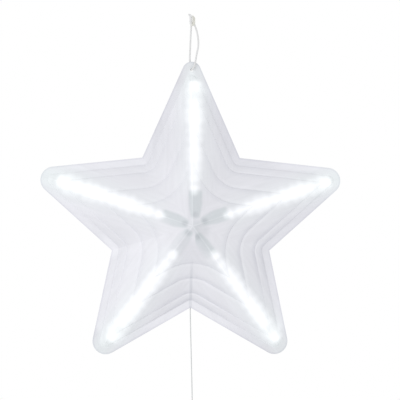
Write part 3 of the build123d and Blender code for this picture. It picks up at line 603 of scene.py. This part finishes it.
blade_shade = calc("MAXIMUM", product(blade_area, product(clouded, pale)), hub_shade)
fill(blade_out["Shade"], calc("MINIMUM", blade_shade, 1.0))
# The dark spot is the painted shadow of the screw and resistor.
part_off = product(calc("SUBTRACT", blade_along, PART_PLACE), 0.8)
fill(blade_out["Part Shadow"], soft_fall(length(part_off, blade_across), 0.0012, 0.0056))

# %% [markdown]
# Inside the outline. The shell steps up in terraces from its flange. Behind each step the
# plastic is steep and thick, which keeps light back, so a soft grey band follows it, and the
# top of the step before it catches light. The cut edge of the flange sends its light out
# sideways and looks grey as well. All of them follow the outline, so they are drawn from one
# number: how far inside the outline a point lies. In the folded arm that is the distance from
# one straight edge, with a round tip at one end and the notch at the other. The bands fade
# along the arm and end before its tip, and the tip is marked for what follows.

# %% Group: inside the outline
ARM_POINT = 0.235
NOTCH_REACH = 0.1105
TIP_ROUND = 0.0176
HANGER_ROUND = 0.0123
FOLD_SPAN = 0.08
FOLD_PROFILE = [
    (0.0090, 0.00), (0.0108, 1.00), (0.0128, 0.85), (0.0165, 0.15),
    (0.0190, 0.05), (0.0207, 1.00), (0.0230, 0.80), (0.0285, 0.10),
    (0.0390, 0.00), (0.0412, 0.95), (0.0440, 0.60), (0.0500, 0.05),
    (0.0590, 0.00), (0.0615, 0.70), (0.0650, 0.40), (0.0710, 0.00),
]
CATCH_PROFILE = [
    (0.0170, 0.00), (0.0188, 1.00), (0.0198, 1.00), (0.0206, 0.00),
    (0.0350, 0.00), (0.0385, 0.90), (0.0402, 0.90), (0.0410, 0.00),
    (0.0550, 0.00), (0.0590, 0.60), (0.0605, 0.60), (0.0614, 0.00),
]
notch_along = NOTCH_REACH * math.cos(FIFTH / 2)
notch_across = NOTCH_REACH * math.sin(FIFTH / 2)
edge_lean = math.atan2(notch_across, ARM_POINT - notch_along)
lean_sine, lean_cosine = math.sin(edge_lean), math.cos(edge_lean)
outline, outline_in, outline_out = new_group(
    "inside_outline",
    ("Along", "Across", "Arm"),
    ("Fold", "Catch", "Rim", "Flange", "Tip"),
)
along_arm, across_arm = outline_in["Along"], outline_in["Across"]
edge_reach = calc("MULTIPLY_ADD", along_arm, lean_sine, product(across_arm, lean_cosine))
from_edge = calc("SUBTRACT", ARM_POINT * lean_sine, edge_reach)
run_part = product(calc("SUBTRACT", across_arm, notch_across), -lean_sine)
run = calc("MULTIPLY_ADD", calc("SUBTRACT", along_arm, notch_along), lean_cosine, run_part)
from_notch = length(from_edge, calc("MINIMUM", run, 0.0))


def rounded_tip(radius):
    """Distance inside the outline where the arm's tip is rounded with this radius."""
    ahead = calc("SUBTRACT", along_arm, ARM_POINT - radius / lean_sine)
    in_tip = calc("GREATER_THAN", product(ahead, 1 / math.tan(edge_lean)), across_arm)
    from_arc = calc("SUBTRACT", radius, length(ahead, across_arm))
    return calc("MULTIPLY_ADD", in_tip, calc("SUBTRACT", from_arc, from_notch), from_notch)


inset = rounded_tip(TIP_ROUND)
hanger_gain = calc("SUBTRACT", rounded_tip(HANGER_ROUND), inset)
cut_edge = calc("MULTIPLY_ADD", on_arm(outline_in["Arm"], 0), hanger_gain, inset)
side_fade = soft_step(run, 0.008, 0.065, 1.0, 0.25)
fold_fade = product(side_fade, soft_fall(along_arm, 0.176, 0.192))
for label, profile in (("Fold", FOLD_PROFILE), ("Catch", CATCH_PROFILE)):
    fill(outline_out[label], product(profile_curve(inset, FOLD_SPAN, profile), fold_fade))
fill(outline_out["Rim"], soft_fall(cut_edge, 0.0006, 0.0030))
fill(outline_out["Flange"], soft_fall(inset, 0.0085, 0.0100))
at_tip = soft_step(along_arm, 0.180, 0.192)
fill(outline_out["Tip"], product(soft_fall(cut_edge, 0.006, 0.014), at_tip))
print("edge leans", round(math.degrees(edge_lean), 2), "degrees")

# %% [markdown]
# Flow lines. Plastic runs into the mould from the centre to the tips, and leaves faint
# streaks along each arm. A noise that is stretched along the arm draws them. The number of
# the arm goes into the noise too, so that the five arms differ.

# %% Group: mould flow
FLOW_RATES = (("X", "Along", 24.0), ("Y", "Side", 240.0), ("Z", "Arm", 3.7))
mould_flow, flow_in, flow_out = new_group(
    "mould_flow", ("Along", "Side", "Arm", "Swing"), ("Tone", "Height")
)
flow_place = {axis: product(flow_in[label], rate) for axis, label, rate in FLOW_RATES}
streaks = noise(add(mould_flow, "CombineXYZ", flow_place).outputs[0], 1.0, 3.0)
streak_level = calc("SUBTRACT", streaks, 0.5)
fill(flow_out["Tone"], calc("MULTIPLY_ADD", streak_level, flow_in["Swing"], 1.0))
fill(flow_out["Height"], streaks)

# %% [markdown]
# Small marks on the shell. The ridge of each arm catches the light as a fine pale line,
# painted as a highlight, and the lead's shadow through the lower facets is painted as a grey
# one. The lamp stands at the left, so the terraces' bands are weak at the upper left and
# strong at the lower right.

# %% Group: shell marks
LEE_SIDE = (0.75, -0.65)
shell_marks, marks_in, marks_out = new_group(
    "shell_marks", ("Place", "Along", "Across"), ("Crest", "Lead Shadow", "Lee")
)
mark_place = parts(marks_in["Place"])
on_wall = soft_step(calc("ABSOLUTE", mark_place["Y"]), 0.0016, 0.0022)
crest_line = soft_fall(marks_in["Across"], 0.0004, 0.0011)
crest_gain = soft_step(marks_in["Along"], 0.030, 0.060, 1.0, 0.5)
fill(marks_out["Crest"], product(crest_line, product(crest_gain, on_wall)))
# The lead's shadow through the lower facets, painted as a grey line.
lead_shadow_line = soft_fall(calc("ABSOLUTE", mark_place["X"]), 0.0007, 0.0028)
fill(marks_out["Lead Shadow"], product(lead_shadow_line, soft_fall(mark_place["Z"], -0.336, -0.300)))
lee_way = towards(marks_in["Place"], LEE_SIDE)
fill(marks_out["Lee"], soft_step(lee_way, -0.08, 0.13, 0.28, 1.0))

# %% [markdown]
# Flange light. The flat flange carries light to its edge and glows a little: more on the low
# left than on the high right, along the upper edges of the side arms and in the left corner,
# and hardly at all on the lower edges. At the tips that point up or down it is shaded.

# %% Group: flange light
LOW_LEFT = (-0.5, -1.0)
LEFT_CORNER = (-0.105, -0.026)
flange_light, glow_in, glow_out = new_group(
    "flange_light", ("Place", "Along", "Tip"), ("Light", "Tip Shade")
)
glow_place = parts(glow_in["Place"])
glow_x, glow_tip = glow_place["X"], glow_in["Tip"]
height_off = calc("SUBTRACT", glow_place["Z"], STAR_CENTRE.z)
low_side = towards(glow_in["Place"], LOW_LEFT)
tip_ends = soft_step(glow_in["Along"], 0.188, 0.196)
beside = soft_step(calc("ABSOLUTE", calc("SUBTRACT", glow_x, 0.02)), 0.08, 0.11)
beside = calc("MAXIMUM", beside, soft_step(glow_x, -0.045, -0.058))
upper_edges = product(soft_step(height_off, 0.068, 0.076), beside, 0.9)
light = calc("MAXIMUM", soft_step(low_side, -0.10, 0.12), tip_ends)
light = calc("MAXIMUM", light, upper_edges)
between = soft_fall(calc("ABSOLUTE", calc("SUBTRACT", glow_x, 0.01)), 0.112, 0.125)
lower_edges = product(soft_step(height_off, -0.125, -0.154), between)
light = product(light, calc("SUBTRACT", 1.0, lower_edges))
corner_x = calc("SUBTRACT", glow_x, LEFT_CORNER[0])
from_corner = length(corner_x, calc("SUBTRACT", height_off, LEFT_CORNER[1]))
light = calc("MULTIPLY_ADD", soft_fall(from_corner, 0.006, 0.024), 0.8, light)
up_or_down = soft_step(calc("ABSOLUTE", height_off), 0.08, 0.16)
light_gap = calc("SUBTRACT", calc("MULTIPLY_ADD", up_or_down, -0.5, 0.5), light)
fill(glow_out["Light"], calc("MULTIPLY_ADD", glow_tip, light_gap, light))
less_at_left = soft_step(glow_x, -0.100, -0.122, 1.0, 0.4)
fill(glow_out["Tip Shade"], product(glow_tip, product(up_or_down, less_at_left)))

# %% [markdown]
# Painted facet shade. The lamps are soft, so the facets differ less here than in the
# photograph. A few are darker there, so here they get painted shade: the left of the top arm,
# most of all beside its ridge, its right edge, the lower side of the left arm, and the valley
# below the hub, where the hub and its cover keep light from the wall. The hub's shadow is
# painted as a soft dark spot, a little to the right. A window says how far each shade goes.

# %% Group: painted facet shade
HUB_SHADE_PLACE = (0.0110, -0.0055)
RIGHT_EDGE = (0.085, 0.10, 0.165, 0.185)
VALLEY = ((-0.022, -0.012, 0.014, 0.024), (0.012, 0.022, 0.036, 0.060), 0.7)
FACET_SHADES = (
    (0, (-0.0075, -0.0050, -0.0035, -0.0010), (0.004, 0.012, 0.11, 0.15), 0.6),
    (0, (-0.2, -0.1, -0.006, -0.001), (0.06, 0.09, 0.125, 0.155), 0.45),
    (-1, (-0.2, -0.1, -0.014, -0.006), (0.03, 0.05, 0.11, 0.14), 0.35),
)
painted_facet_shade, tone_in, facet_shade_out = new_group(
    "painted_facet_shade", ("Place", "Along", "Side", "Arm"), ("Shade", "Hub")
)
tone_along, tone_side, tone_arm = (tone_in[label] for label in ("Along", "Side", "Arm"))
tone_place = parts(tone_in["Place"])
below = calc("SUBTRACT", STAR_CENTRE.z, tone_place["Z"])
edge_line = calc("MULTIPLY_ADD", tone_side, 2.0, tone_along)
right_side = product(soft_step(edge_line, 0.180, 0.200), soft_step(tone_side, 0.006, 0.014))
right_edge = product(right_side, window(tone_along, *RIGHT_EDGE))
shade = product(right_edge, on_arm(tone_arm, 0), 0.5)
for fifths, across, along, share in FACET_SHADES:
    facet = product(window(tone_side, *across), window(tone_along, *along))
    shade = calc("MULTIPLY_ADD", product(facet, on_arm(tone_arm, fifths)), share, shade)
valley = product(window(tone_place["X"], *VALLEY[0]), window(below, *VALLEY[1]))
shade = calc("MULTIPLY_ADD", valley, VALLEY[2], shade)
fill(facet_shade_out["Shade"], calc("MINIMUM", shade, 1.0))
# The hub's painted shadow: a soft dark spot beside the centre.
hub_x = calc("SUBTRACT", tone_place["X"], HUB_SHADE_PLACE[0])
hub_reach = length(hub_x, calc("ADD", below, HUB_SHADE_PLACE[1]))
fill(facet_shade_out["Hub"], soft_fall(hub_reach, 0.005, 0.0165))

# %% [markdown]
# Star plastic. The shell is frosted translucent plastic with a satin skin: a pale cool white
# with a hint of violet. Near the lit strips it is painted a clear greenish white, for the
# strips' light spreading in the plastic. The front and the rear half share the groups. The
# front one shifts the bands a little to the right, because the strips lie deep inside and are
# seen past the ridges.

# %% Material: star plastic
SHELL_BODY = (0.795, 0.795, 0.835, 1)
SHELL_PAINTED_GLOW = (0.800, 0.838, 0.850, 1)
BLADE_SHADOW = (0.83, 0.87, 0.86, 1)
PART_SHADOW = (0.86, 0.86, 0.87, 1)
HUB_SHADOW = (0.88, 0.89, 0.89, 1)
FACET_PAINTED_SHADE = (0.92, 0.92, 0.925, 1)
LEAD_SHADOW = (0.87, 0.88, 0.89, 1)
FOLD_SHADE = (0.88, 0.885, 0.90, 1)
RIM_SHADE = (0.91, 0.91, 0.93, 1)
FLANGE_SHADE = (0.965, 0.965, 0.97, 1)
TIP_SHADE = (0.96, 0.945, 0.95, 1)
WHITE = (1, 1, 1, 1)
BLACK = (0, 0, 0, 1)


def star_plastic(name, lean=0.0, strip_shift=(0.0, 0.0), blade_shift=(0.0, 0.0), aside=0.0):
    """Translucent star shell with painted light bands, shades and board shadows."""
    material, shader, place = new_material(
        name, IOR=1.46, Coat_Weight=0.25, Coat_Roughness=0.22, Emission_Strength=1.0
    )

    def fold(side_shift, lift):
        """The five arms folded into one, for what is seen past the ridges."""
        shifts = {"Side Shift": side_shift, "Lean": lean, "Lift": lift}
        return use_group(one_arm, {"Place": place, **shifts})

    strip = use_group(lit_strip, pick(fold(*strip_shift), "Along", "Across", "Arm"))
    ends = pick(fold(*blade_shift), "Along", "Side", "Arm")
    board_shadows = use_group(blade_shadow_group, {"Place": place, **ends, "Aside": aside})
    arm = use_group(one_arm, {"Place": place})
    folded = pick(arm, "Along", "Side", "Arm")
    edge = use_group(outline, pick(arm, "Along", "Across", "Arm"))
    flow = use_group(mould_flow, {**folded, "Swing": 0.11})
    marks = use_group(shell_marks, {"Place": place, **pick(arm, "Along", "Across")})
    glow = use_group(flange_light, {"Place": place, **pick(arm, "Along"), **pick(edge, "Tip")})
    facet_shading = use_group(painted_facet_shade, {"Place": place, **folded})
    grain = grain_at(place, 0.0011, 0.035)
    skin = tint(strip["Halo"], SHELL_BODY, SHELL_PAINTED_GLOW)
    # Painted shade multiplied into the skin: the board ends' and parts' shadows, the hub's
    # shadow, darker facets, the lead's shadow, the terraces' grey bands, the grey cut edge, a
    # darker flange and shaded tips. Grain and flow lines are the plastic's own tone.
    for mask, colour in (
        (board_shadows["Shade"], BLADE_SHADOW),
        (product(board_shadows["Shade"], board_shadows["Part Shadow"]), PART_SHADOW),
        (facet_shading["Hub"], HUB_SHADOW),
        (facet_shading["Shade"], FACET_PAINTED_SHADE),
        (marks["Lead Shadow"], LEAD_SHADOW),
        (product(edge["Fold"], marks["Lee"]), FOLD_SHADE),
        (edge["Rim"], RIM_SHADE),
        (edge["Flange"], FLANGE_SHADE),
        (product(edge["Flange"], glow["Tip Shade"]), TIP_SHADE),
        (1.0, grain["Tone"]),
        (1.0, flow["Tone"]),
    ):
        skin = tint(mask, skin, colour, "MULTIPLY")
    fill(shader.inputs["Base Color"], skin)
    level = strip["Glow"]
    # Painted light as emission: the strip bands and their halo, the pale crest highlights, light
    # caught on the terrace tops and the flange's glow.
    for mask, strength in (
        (strip["Halo"], 0.03),
        (marks["Crest"], 0.06),
        (product(edge["Catch"], marks["Lee"]), 0.06),
        (product(edge["Flange"], glow["Light"]), 0.07),
    ):
        level = calc("MULTIPLY_ADD", mask, strength, level)
    fill(shader.inputs["Emission Color"], tint(level, BLACK, WHITE))
    fill(shader.inputs["Roughness"], product(grain["Polish"], 0.34))
    height = calc("MULTIPLY_ADD", flow["Height"], 1.5, grain["Height"])
    raise_surface(shader, height, 0.10, 0.0004)
    return material


seen_past = {"lean": 0.061, "strip_shift": (0.0050, 0.0002), "blade_shift": (0.0062, 0.0010)}
dress(star_plastic("star_plastic_front", **seen_past, aside=1.0), "front_shell")
dress(star_plastic("star_plastic_rear"), "rear_shell")

# %% [markdown]
# Plain plastics. The battery box, the hub and the small mouldings differ only in colour,
# grain and gloss, so one function makes them all.


# %% Materials: plain plastics
def plastic(name, colour, roughness, grain_size, depth):
    """Moulded plastic of one colour with grain and a little drift in tone and gloss."""
    material, shader, place = new_material(name)
    grain = add_grain(shader, place, colour, grain_size, 0.04, depth, 0.0004)
    fill(shader.inputs["Roughness"], product(grain["Polish"], roughness))
    return material


case_plastic = plastic("case_plastic_white", (0.80, 0.80, 0.79, 1), 0.42, 0.0007, 0.22)
hub_plastic = plastic("hub_plastic_natural", (0.76, 0.77, 0.76, 1), 0.38, 0.0009, 0.15)
slider_plastic = plastic("slider_plastic_grey", (0.10, 0.10, 0.11, 1), 0.45, 0.0006, 0.22)
tie_plastic = plastic("soft_white_vinyl", (0.78, 0.79, 0.80, 1), 0.50, 0.0008, 0.12)
chip_plastic = plastic("dark_chip_epoxy", (0.03, 0.03, 0.032, 1), 0.55, 0.0003, 0.2)
dress(case_plastic, "battery_case", "battery_cover", "control_cover")
dress(hub_plastic, "hub_base", "hub_cap", "junction_cover")
dress(slider_plastic, "switch_slider", "switch_body")
dress(tie_plastic, "coil_tie", "strain_relief")
dress(chip_plastic, "timer_parts", "board_resistors")

# %% [markdown]
# String. Three plies of off-white cotton are twisted together. A curve has its own UV map:
# one direction runs along it, the other goes round it. The plies wind round the string as
# slanted bands, so they come from a sum of both directions, and noise adds the fibres. The
# grooves between the plies are painted darker as shade. The string and its knot share the
# group, each with its own length. Both get patches of a darker yellowish colour, partly soil
# and partly painted shade: the string a little, and the knot, which has been handled more,
# much more, apart from the tail that it starts with.

# %% Group: wound plies
TWIST_PITCH = 0.0030
PLIES = 3.0
YARN_GROOVE_SHADE = (0.68, 0.68, 0.68, 1)
YARN_TOP = (0.77, 0.77, 0.775, 1)
YARN_SOIL_AND_SHADE = (0.74, 0.73, 0.64, 1)
wound_plies, ply_in, ply_out = new_group(
    "wound_plies",
    ("Place", "UV", "Turns", "Age"),
    ("Yarn", "Height"),
    colours=("Yarn",),
)
uv = parts(ply_in["UV"])
wound = calc("MULTIPLY_ADD", uv["Y"], PLIES, product(uv["X"], ply_in["Turns"]))
ply = calc("ABSOLUTE", calc("SINE", product(wound, math.pi)))
# The grooves between the plies are painted darker as shade.
yarn = tint(soft_step(ply, 0.0, 0.55), YARN_GROOVE_SHADE, YARN_TOP)
# Patches that are partly soil and partly painted shade.
soil_and_shade_patches = product(soft_step(noise(ply_in["Place"], 60.0), 0.20, 0.65), ply_in["Age"])
fill(ply_out["Yarn"], tint(soil_and_shade_patches, yarn, YARN_SOIL_AND_SHADE))
fill(ply_out["Height"], calc("MULTIPLY_ADD", noise(ply_in["Place"], 2600.0, 3.0), 0.3, ply))


# %% Material: twisted string
def twisted_string(name, cord_length, soil_and_shade, clean_share=0.0):
    """Off-white twisted string, dry and a little fuzzy, with less soil and painted shade at its
    start.
    """
    material, shader, place = new_material(name, Roughness=0.85, Sheen_Weight=0.25)
    map_place = place.node.outputs["UV"]
    along = parts(map_place)["X"]
    soil_and_shade_share = product(soft_step(along, clean_share - 0.08, clean_share + 0.08), soil_and_shade)
    wound = {"UV": map_place, "Turns": cord_length / TWIST_PITCH, "Age": soil_and_shade_share}
    plies = use_group(wound_plies, {"Place": place, **wound})
    fill(shader.inputs["Base Color"], plies["Yarn"])
    raise_surface(shader, plies["Height"], 0.5, 0.0003)
    return material


dress(twisted_string("string_cotton", string_length, 0.1), "string_loop")
dress(twisted_string("string_cotton_knot", measured_length(knot), 1.0, 0.3), "knot_turns")

# %% [markdown]
# Lead. The cable is clear vinyl over two tinned wires that lie side by side. From outside the
# wires show as two grey bands along it, so they are drawn round the cord by its UV map, under
# a glossy coat. Clear plastic over real wires would look alike and cost far more light paths.

# %% Material: clear lead
lead_material, shader, place = new_material(
    "clear_lead", Roughness=0.22, IOR=1.48, Coat_Weight=0.4, Coat_Roughness=0.1
)
round_lead = parts(place.node.outputs["UV"])["Y"]
two_wires = calc("ABSOLUTE", calc("SINE", product(round_lead, 2 * math.pi)))
wire_share = soft_step(two_wires, 0.35, 0.75)
vinyl = tint(wire_share, (0.80, 0.82, 0.81, 1), (0.58, 0.59, 0.59, 1))
add_grain(shader, place, vinyl, 0.0012, 0.10, 0.04, 0.0003)
dress(lead_material, "power_lead", "inner_lead")

# %% [markdown]
# Circuit boards. The boards lie behind the shell, but they are there when a half shell or
# the battery cover is taken away. They are glass-fibre sheet under a pale grey-green lacquer,
# and the copper stands up through it: one track along each side, and a link between them
# after each LED. The folded arm's two numbers draw it on all five boards at once. On the flat
# timer board the same tracks repeat from top to bottom.

# %% Group: copper tracks
TRACK_OFFSET = 0.0042
copper_tracks, track_in, track_out = new_group(
    "copper_tracks", ("Along", "Across"), ("Track",)
)
side_off = calc("ABSOLUTE", calc("SUBTRACT", track_in["Across"], TRACK_OFFSET))
link_place = calc("SUBTRACT", track_in["Along"], FIRST_LED + LED_PITCH / 2)
link_off = calc("ABSOLUTE", calc("WRAP", link_place, LED_PITCH / 2, -LED_PITCH / 2))
between_sides = calc("LESS_THAN", track_in["Across"], TRACK_OFFSET)
link = product(soft_fall(link_off, 0.0002, 0.0004), between_sides)
fill(track_out["Track"], calc("MAXIMUM", soft_fall(side_off, 0.0004, 0.0006), link))


# %% Materials: circuit boards
TIMER_ROW = 0.006
LACQUER = (0.50, 0.58, 0.53, 1)
LACQUER_ON_COPPER = (0.60, 0.68, 0.62, 1)


def board(name, ways):
    """Lacquer with a satin gloss over copper tracks that follow two numbers."""
    material, shader, place = new_material(name, Roughness=0.38, Coat_Weight=0.3)
    track = use_group(copper_tracks, ways(place))["Track"]
    weave = grain_at(place, 0.0005, 0.06)
    lacquer = tint(track, LACQUER, LACQUER_ON_COPPER)
    fill(shader.inputs["Base Color"], toned(lacquer, weave["Tone"]))
    raise_surface(shader, calc("MULTIPLY_ADD", weave["Height"], 0.2, track), 0.3, 0.0001)
    return material


def arm_ways(place):
    """Along and across the star's arms."""
    return pick(use_group(one_arm, {"Place": place}), "Along", "Across")


def row_ways(place):
    """Along and across rows that repeat from top to bottom."""
    flat = parts(place)
    return {"Along": flat["X"], "Across": calc("PINGPONG", flat["Z"], TIMER_ROW)}


arm_boards = [f"led_board_{number}" for number in range(1, 6)]
dress(board("circuit_board_arms", arm_ways), *arm_boards, "junction_board")
dress(board("circuit_board_timer", row_ways), "timer_board")

# %% [markdown]
# LEDs. Each one is a small block of pale resin that glows white. It shines at its own
# strength, low enough to keep its shape.

# %% Material: lit LEDs
led_material, shader, place = new_material("led_lit", Roughness=0.25, Emission_Strength=1.0)
grain = grain_at(place, 0.0004, 0.05)
fill(shader.inputs["Base Color"], toned((0.86, 0.84, 0.74, 1), grain["Tone"]))
fill(shader.inputs["Emission Color"], toned((0.98, 1.0, 1.0, 1), grain["Tone"]))
dress(led_material, *(f"{side}_leds_{n}" for side in ("front", "rear") for n in range(1, 6)))

# %% [markdown]
# Plated metal. Screws, the crimped stop, pins and springs are drawn or headed steel with a
# bright plating. Drawing leaves fine marks along the wire and the plating clouds a little.
# Screws and contacts share these marks and differ in colour and gloss.

# %% Group: drawn marks
drawn_marks, drawn_in, drawn_out = new_group(
    "drawn_marks", ("Place", "Rate"), ("Shade", "Polish", "Height")
)
stretched = {"Vector": drawn_in["Place"], "Scale": (1.0, 0.15, 1.0)}
lines = noise(add(drawn_marks, "Mapping", stretched).outputs[0], drawn_in["Rate"])
haze = noise(drawn_in["Place"], 220.0)
fill(drawn_out["Shade"], calc("MULTIPLY_ADD", haze, 0.16, 0.92))
fill(drawn_out["Polish"], product(lines, 0.18))
fill(drawn_out["Height"], lines)


# %% Materials: plated metal
def plated(name, colour, roughness, rate):
    """Plated steel with fine drawing marks and a cloudy gloss."""
    material, shader, place = new_material(name, Metallic=1.0)
    marks = use_group(drawn_marks, {"Place": place, "Rate": rate})
    fill(shader.inputs["Base Color"], toned(colour, marks["Shade"]))
    fill(shader.inputs["Roughness"], calc("ADD", marks["Polish"], roughness))
    raise_surface(shader, marks["Height"], 0.15, 0.0001)
    return material


screw_steel = plated("screw_zinc", (0.66, 0.67, 0.69, 1), 0.24, 2400.0)
contact_nickel = plated("contact_nickel", (0.78, 0.77, 0.73, 1), 0.16, 3000.0)
dress(screw_steel, "board_screws", "centre_screw", "junction_screws", "control_screws")
dress(screw_steel, "cable_stop")
dress(contact_nickel, "link_pins", "contact_plates", "contact_springs")

# %% [markdown]
# Cells. Each battery cell wears a shrunk plastic sleeve: dark green, with one pale band round
# its middle and nothing printed on it. The band is found from the cell's own box, so it stays
# in place if the box of cells is ever moved.

# %% Material: cell jackets
cell_material, shader, place = new_material("cell_jacket_sleeve", Roughness=0.3, Coat_Weight=0.5)
cell_low, cell_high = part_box("battery_cell_1")
cell_axis = max(range(3), key=lambda axis: (cell_high - cell_low)[axis])
band_middle = (cell_low + cell_high)[cell_axis] / 2
band_off = calc("ABSOLUTE", calc("SUBTRACT", parts(place)[cell_axis], band_middle))
band_share = soft_fall(band_off, 0.0098, 0.0102)
sleeve = tint(band_share, (0.10, 0.16, 0.13, 1), (0.34, 0.45, 0.38, 1))
add_grain(shader, place, sleeve, 0.0008, 0.06, 0.05, 0.0002)
dress(cell_material, "battery_cell_1", "battery_cell_2", "battery_cell_3")

# %% [markdown]
# Studio. The star hangs in front of white paper under soft light that comes evenly from all
# round. What the camera sees behind it is pure white, and shiny surfaces mirror that white.


# %% World
def seen_directly(tree):
    """1 for what the camera sees, straight or by a mirror or glass, and 0 for light rays."""
    rays = add(tree, "LightPath").outputs
    mirrored = calc("MAXIMUM", rays["Is Camera Ray"], rays["Is Glossy Ray"])
    return calc("MAXIMUM", mirrored, rays["Is Transmission Ray"])


AMBIENT_LEVEL = 0.885
world = bpy.data.worlds.new("studio")
scene.world = world
world.use_nodes = True
tree = world.node_tree
soft_light = tree.nodes["Background"]
soft_light.inputs["Color"].default_value = (0.985, 0.99, 1.0, 1)
soft_light.inputs["Strength"].default_value = AMBIENT_LEVEL
paper = add(tree, "Background", {"Color": WHITE, "Strength": 1.0})
shares = {0: seen_directly(tree), 1: soft_light.outputs[0], 2: paper.outputs[0]}
either = add(tree, "MixShader", shares)
fill(tree.nodes["World Output"].inputs["Surface"], either.outputs[0])
scene.view_settings.view_transform = "Standard"
print("world level", AMBIENT_LEVEL)

# %% [markdown]
# Lamps. A large lamp at the upper left lifts the left facets, and a weak one low on the right
# keeps the other side from looking flat.


# %% Lamps
def soft_box(name, place, size, power):
    """A square area lamp that faces the star."""
    light = bpy.data.lights.new(name, "AREA")
    light.size = size
    light.energy = power
    lamp = bpy.data.objects.new(name, light)
    lamp.location = place
    lamp.rotation_euler = (STAR_CENTRE - Vector(place)).to_track_quat("-Z", "Y").to_euler()
    scene.collection.objects.link(lamp)
    return lamp


soft_box("key_lamp", (-2.4, -1.3, -0.35), size=1.2, power=15.0)
soft_box("fill_lamp", (1.9, -1.9, -1.1), size=1.2, power=4.0)

# %% [markdown]
# Floor. The star hangs over a round sheet of white paper. The sheet takes the object's shadow
# in the middle and turns to pure white towards its edge, so no edge shows. Paper has no
# thickness here, so its underside is left clear and the star can be looked at from below.

# %% Floor
FLOOR_HEIGHT = -0.70
FLOOR_RADIUS = 0.95
WHITE_RAMP = (0.12, 0.80)
shape = bmesh.new()
bmesh.ops.create_circle(shape, cap_ends=True, segments=96, radius=FLOOR_RADIUS)
bmesh.ops.translate(shape, verts=shape.verts, vec=(0, 0, FLOOR_HEIGHT))
floor_mesh = bpy.data.meshes.new("floor")
shape.to_mesh(floor_mesh)
shape.free()
floor = bpy.data.objects.new("floor", floor_mesh)
scene.collection.objects.link(floor)
floor_material, shader, place = new_material("floor_paper", Roughness=0.9)
tree = floor_material.node_tree
fibre = noise(place, 180.0, 3.0)
fill(shader.inputs["Base Color"], tint(fibre, (0.91, 0.91, 0.91, 1), (0.94, 0.94, 0.94, 1)))
spot = parts(place)
from_middle = length(spot["X"], spot["Y"])
paper_white = add(tree, "Emission", {"Color": WHITE, "Strength": 1.0})
fade = product(soft_step(from_middle, *WHITE_RAMP), seen_directly(tree))
paper_mix = add(tree, "MixShader", {0: fade, 1: shader.outputs[0], 2: paper_white.outputs[0]})
underside = add(tree, "NewGeometry").outputs["Backfacing"]
clear = add(tree, "BsdfTransparent")
both_sides = add(tree, "MixShader", {0: underside, 1: paper_mix.outputs[0], 2: clear.outputs[0]})
fill(tree.nodes["Material Output"].inputs["Surface"], both_sides.outputs[0])
floor_mesh.materials.append(floor_material)
print("floor at", FLOOR_HEIGHT)
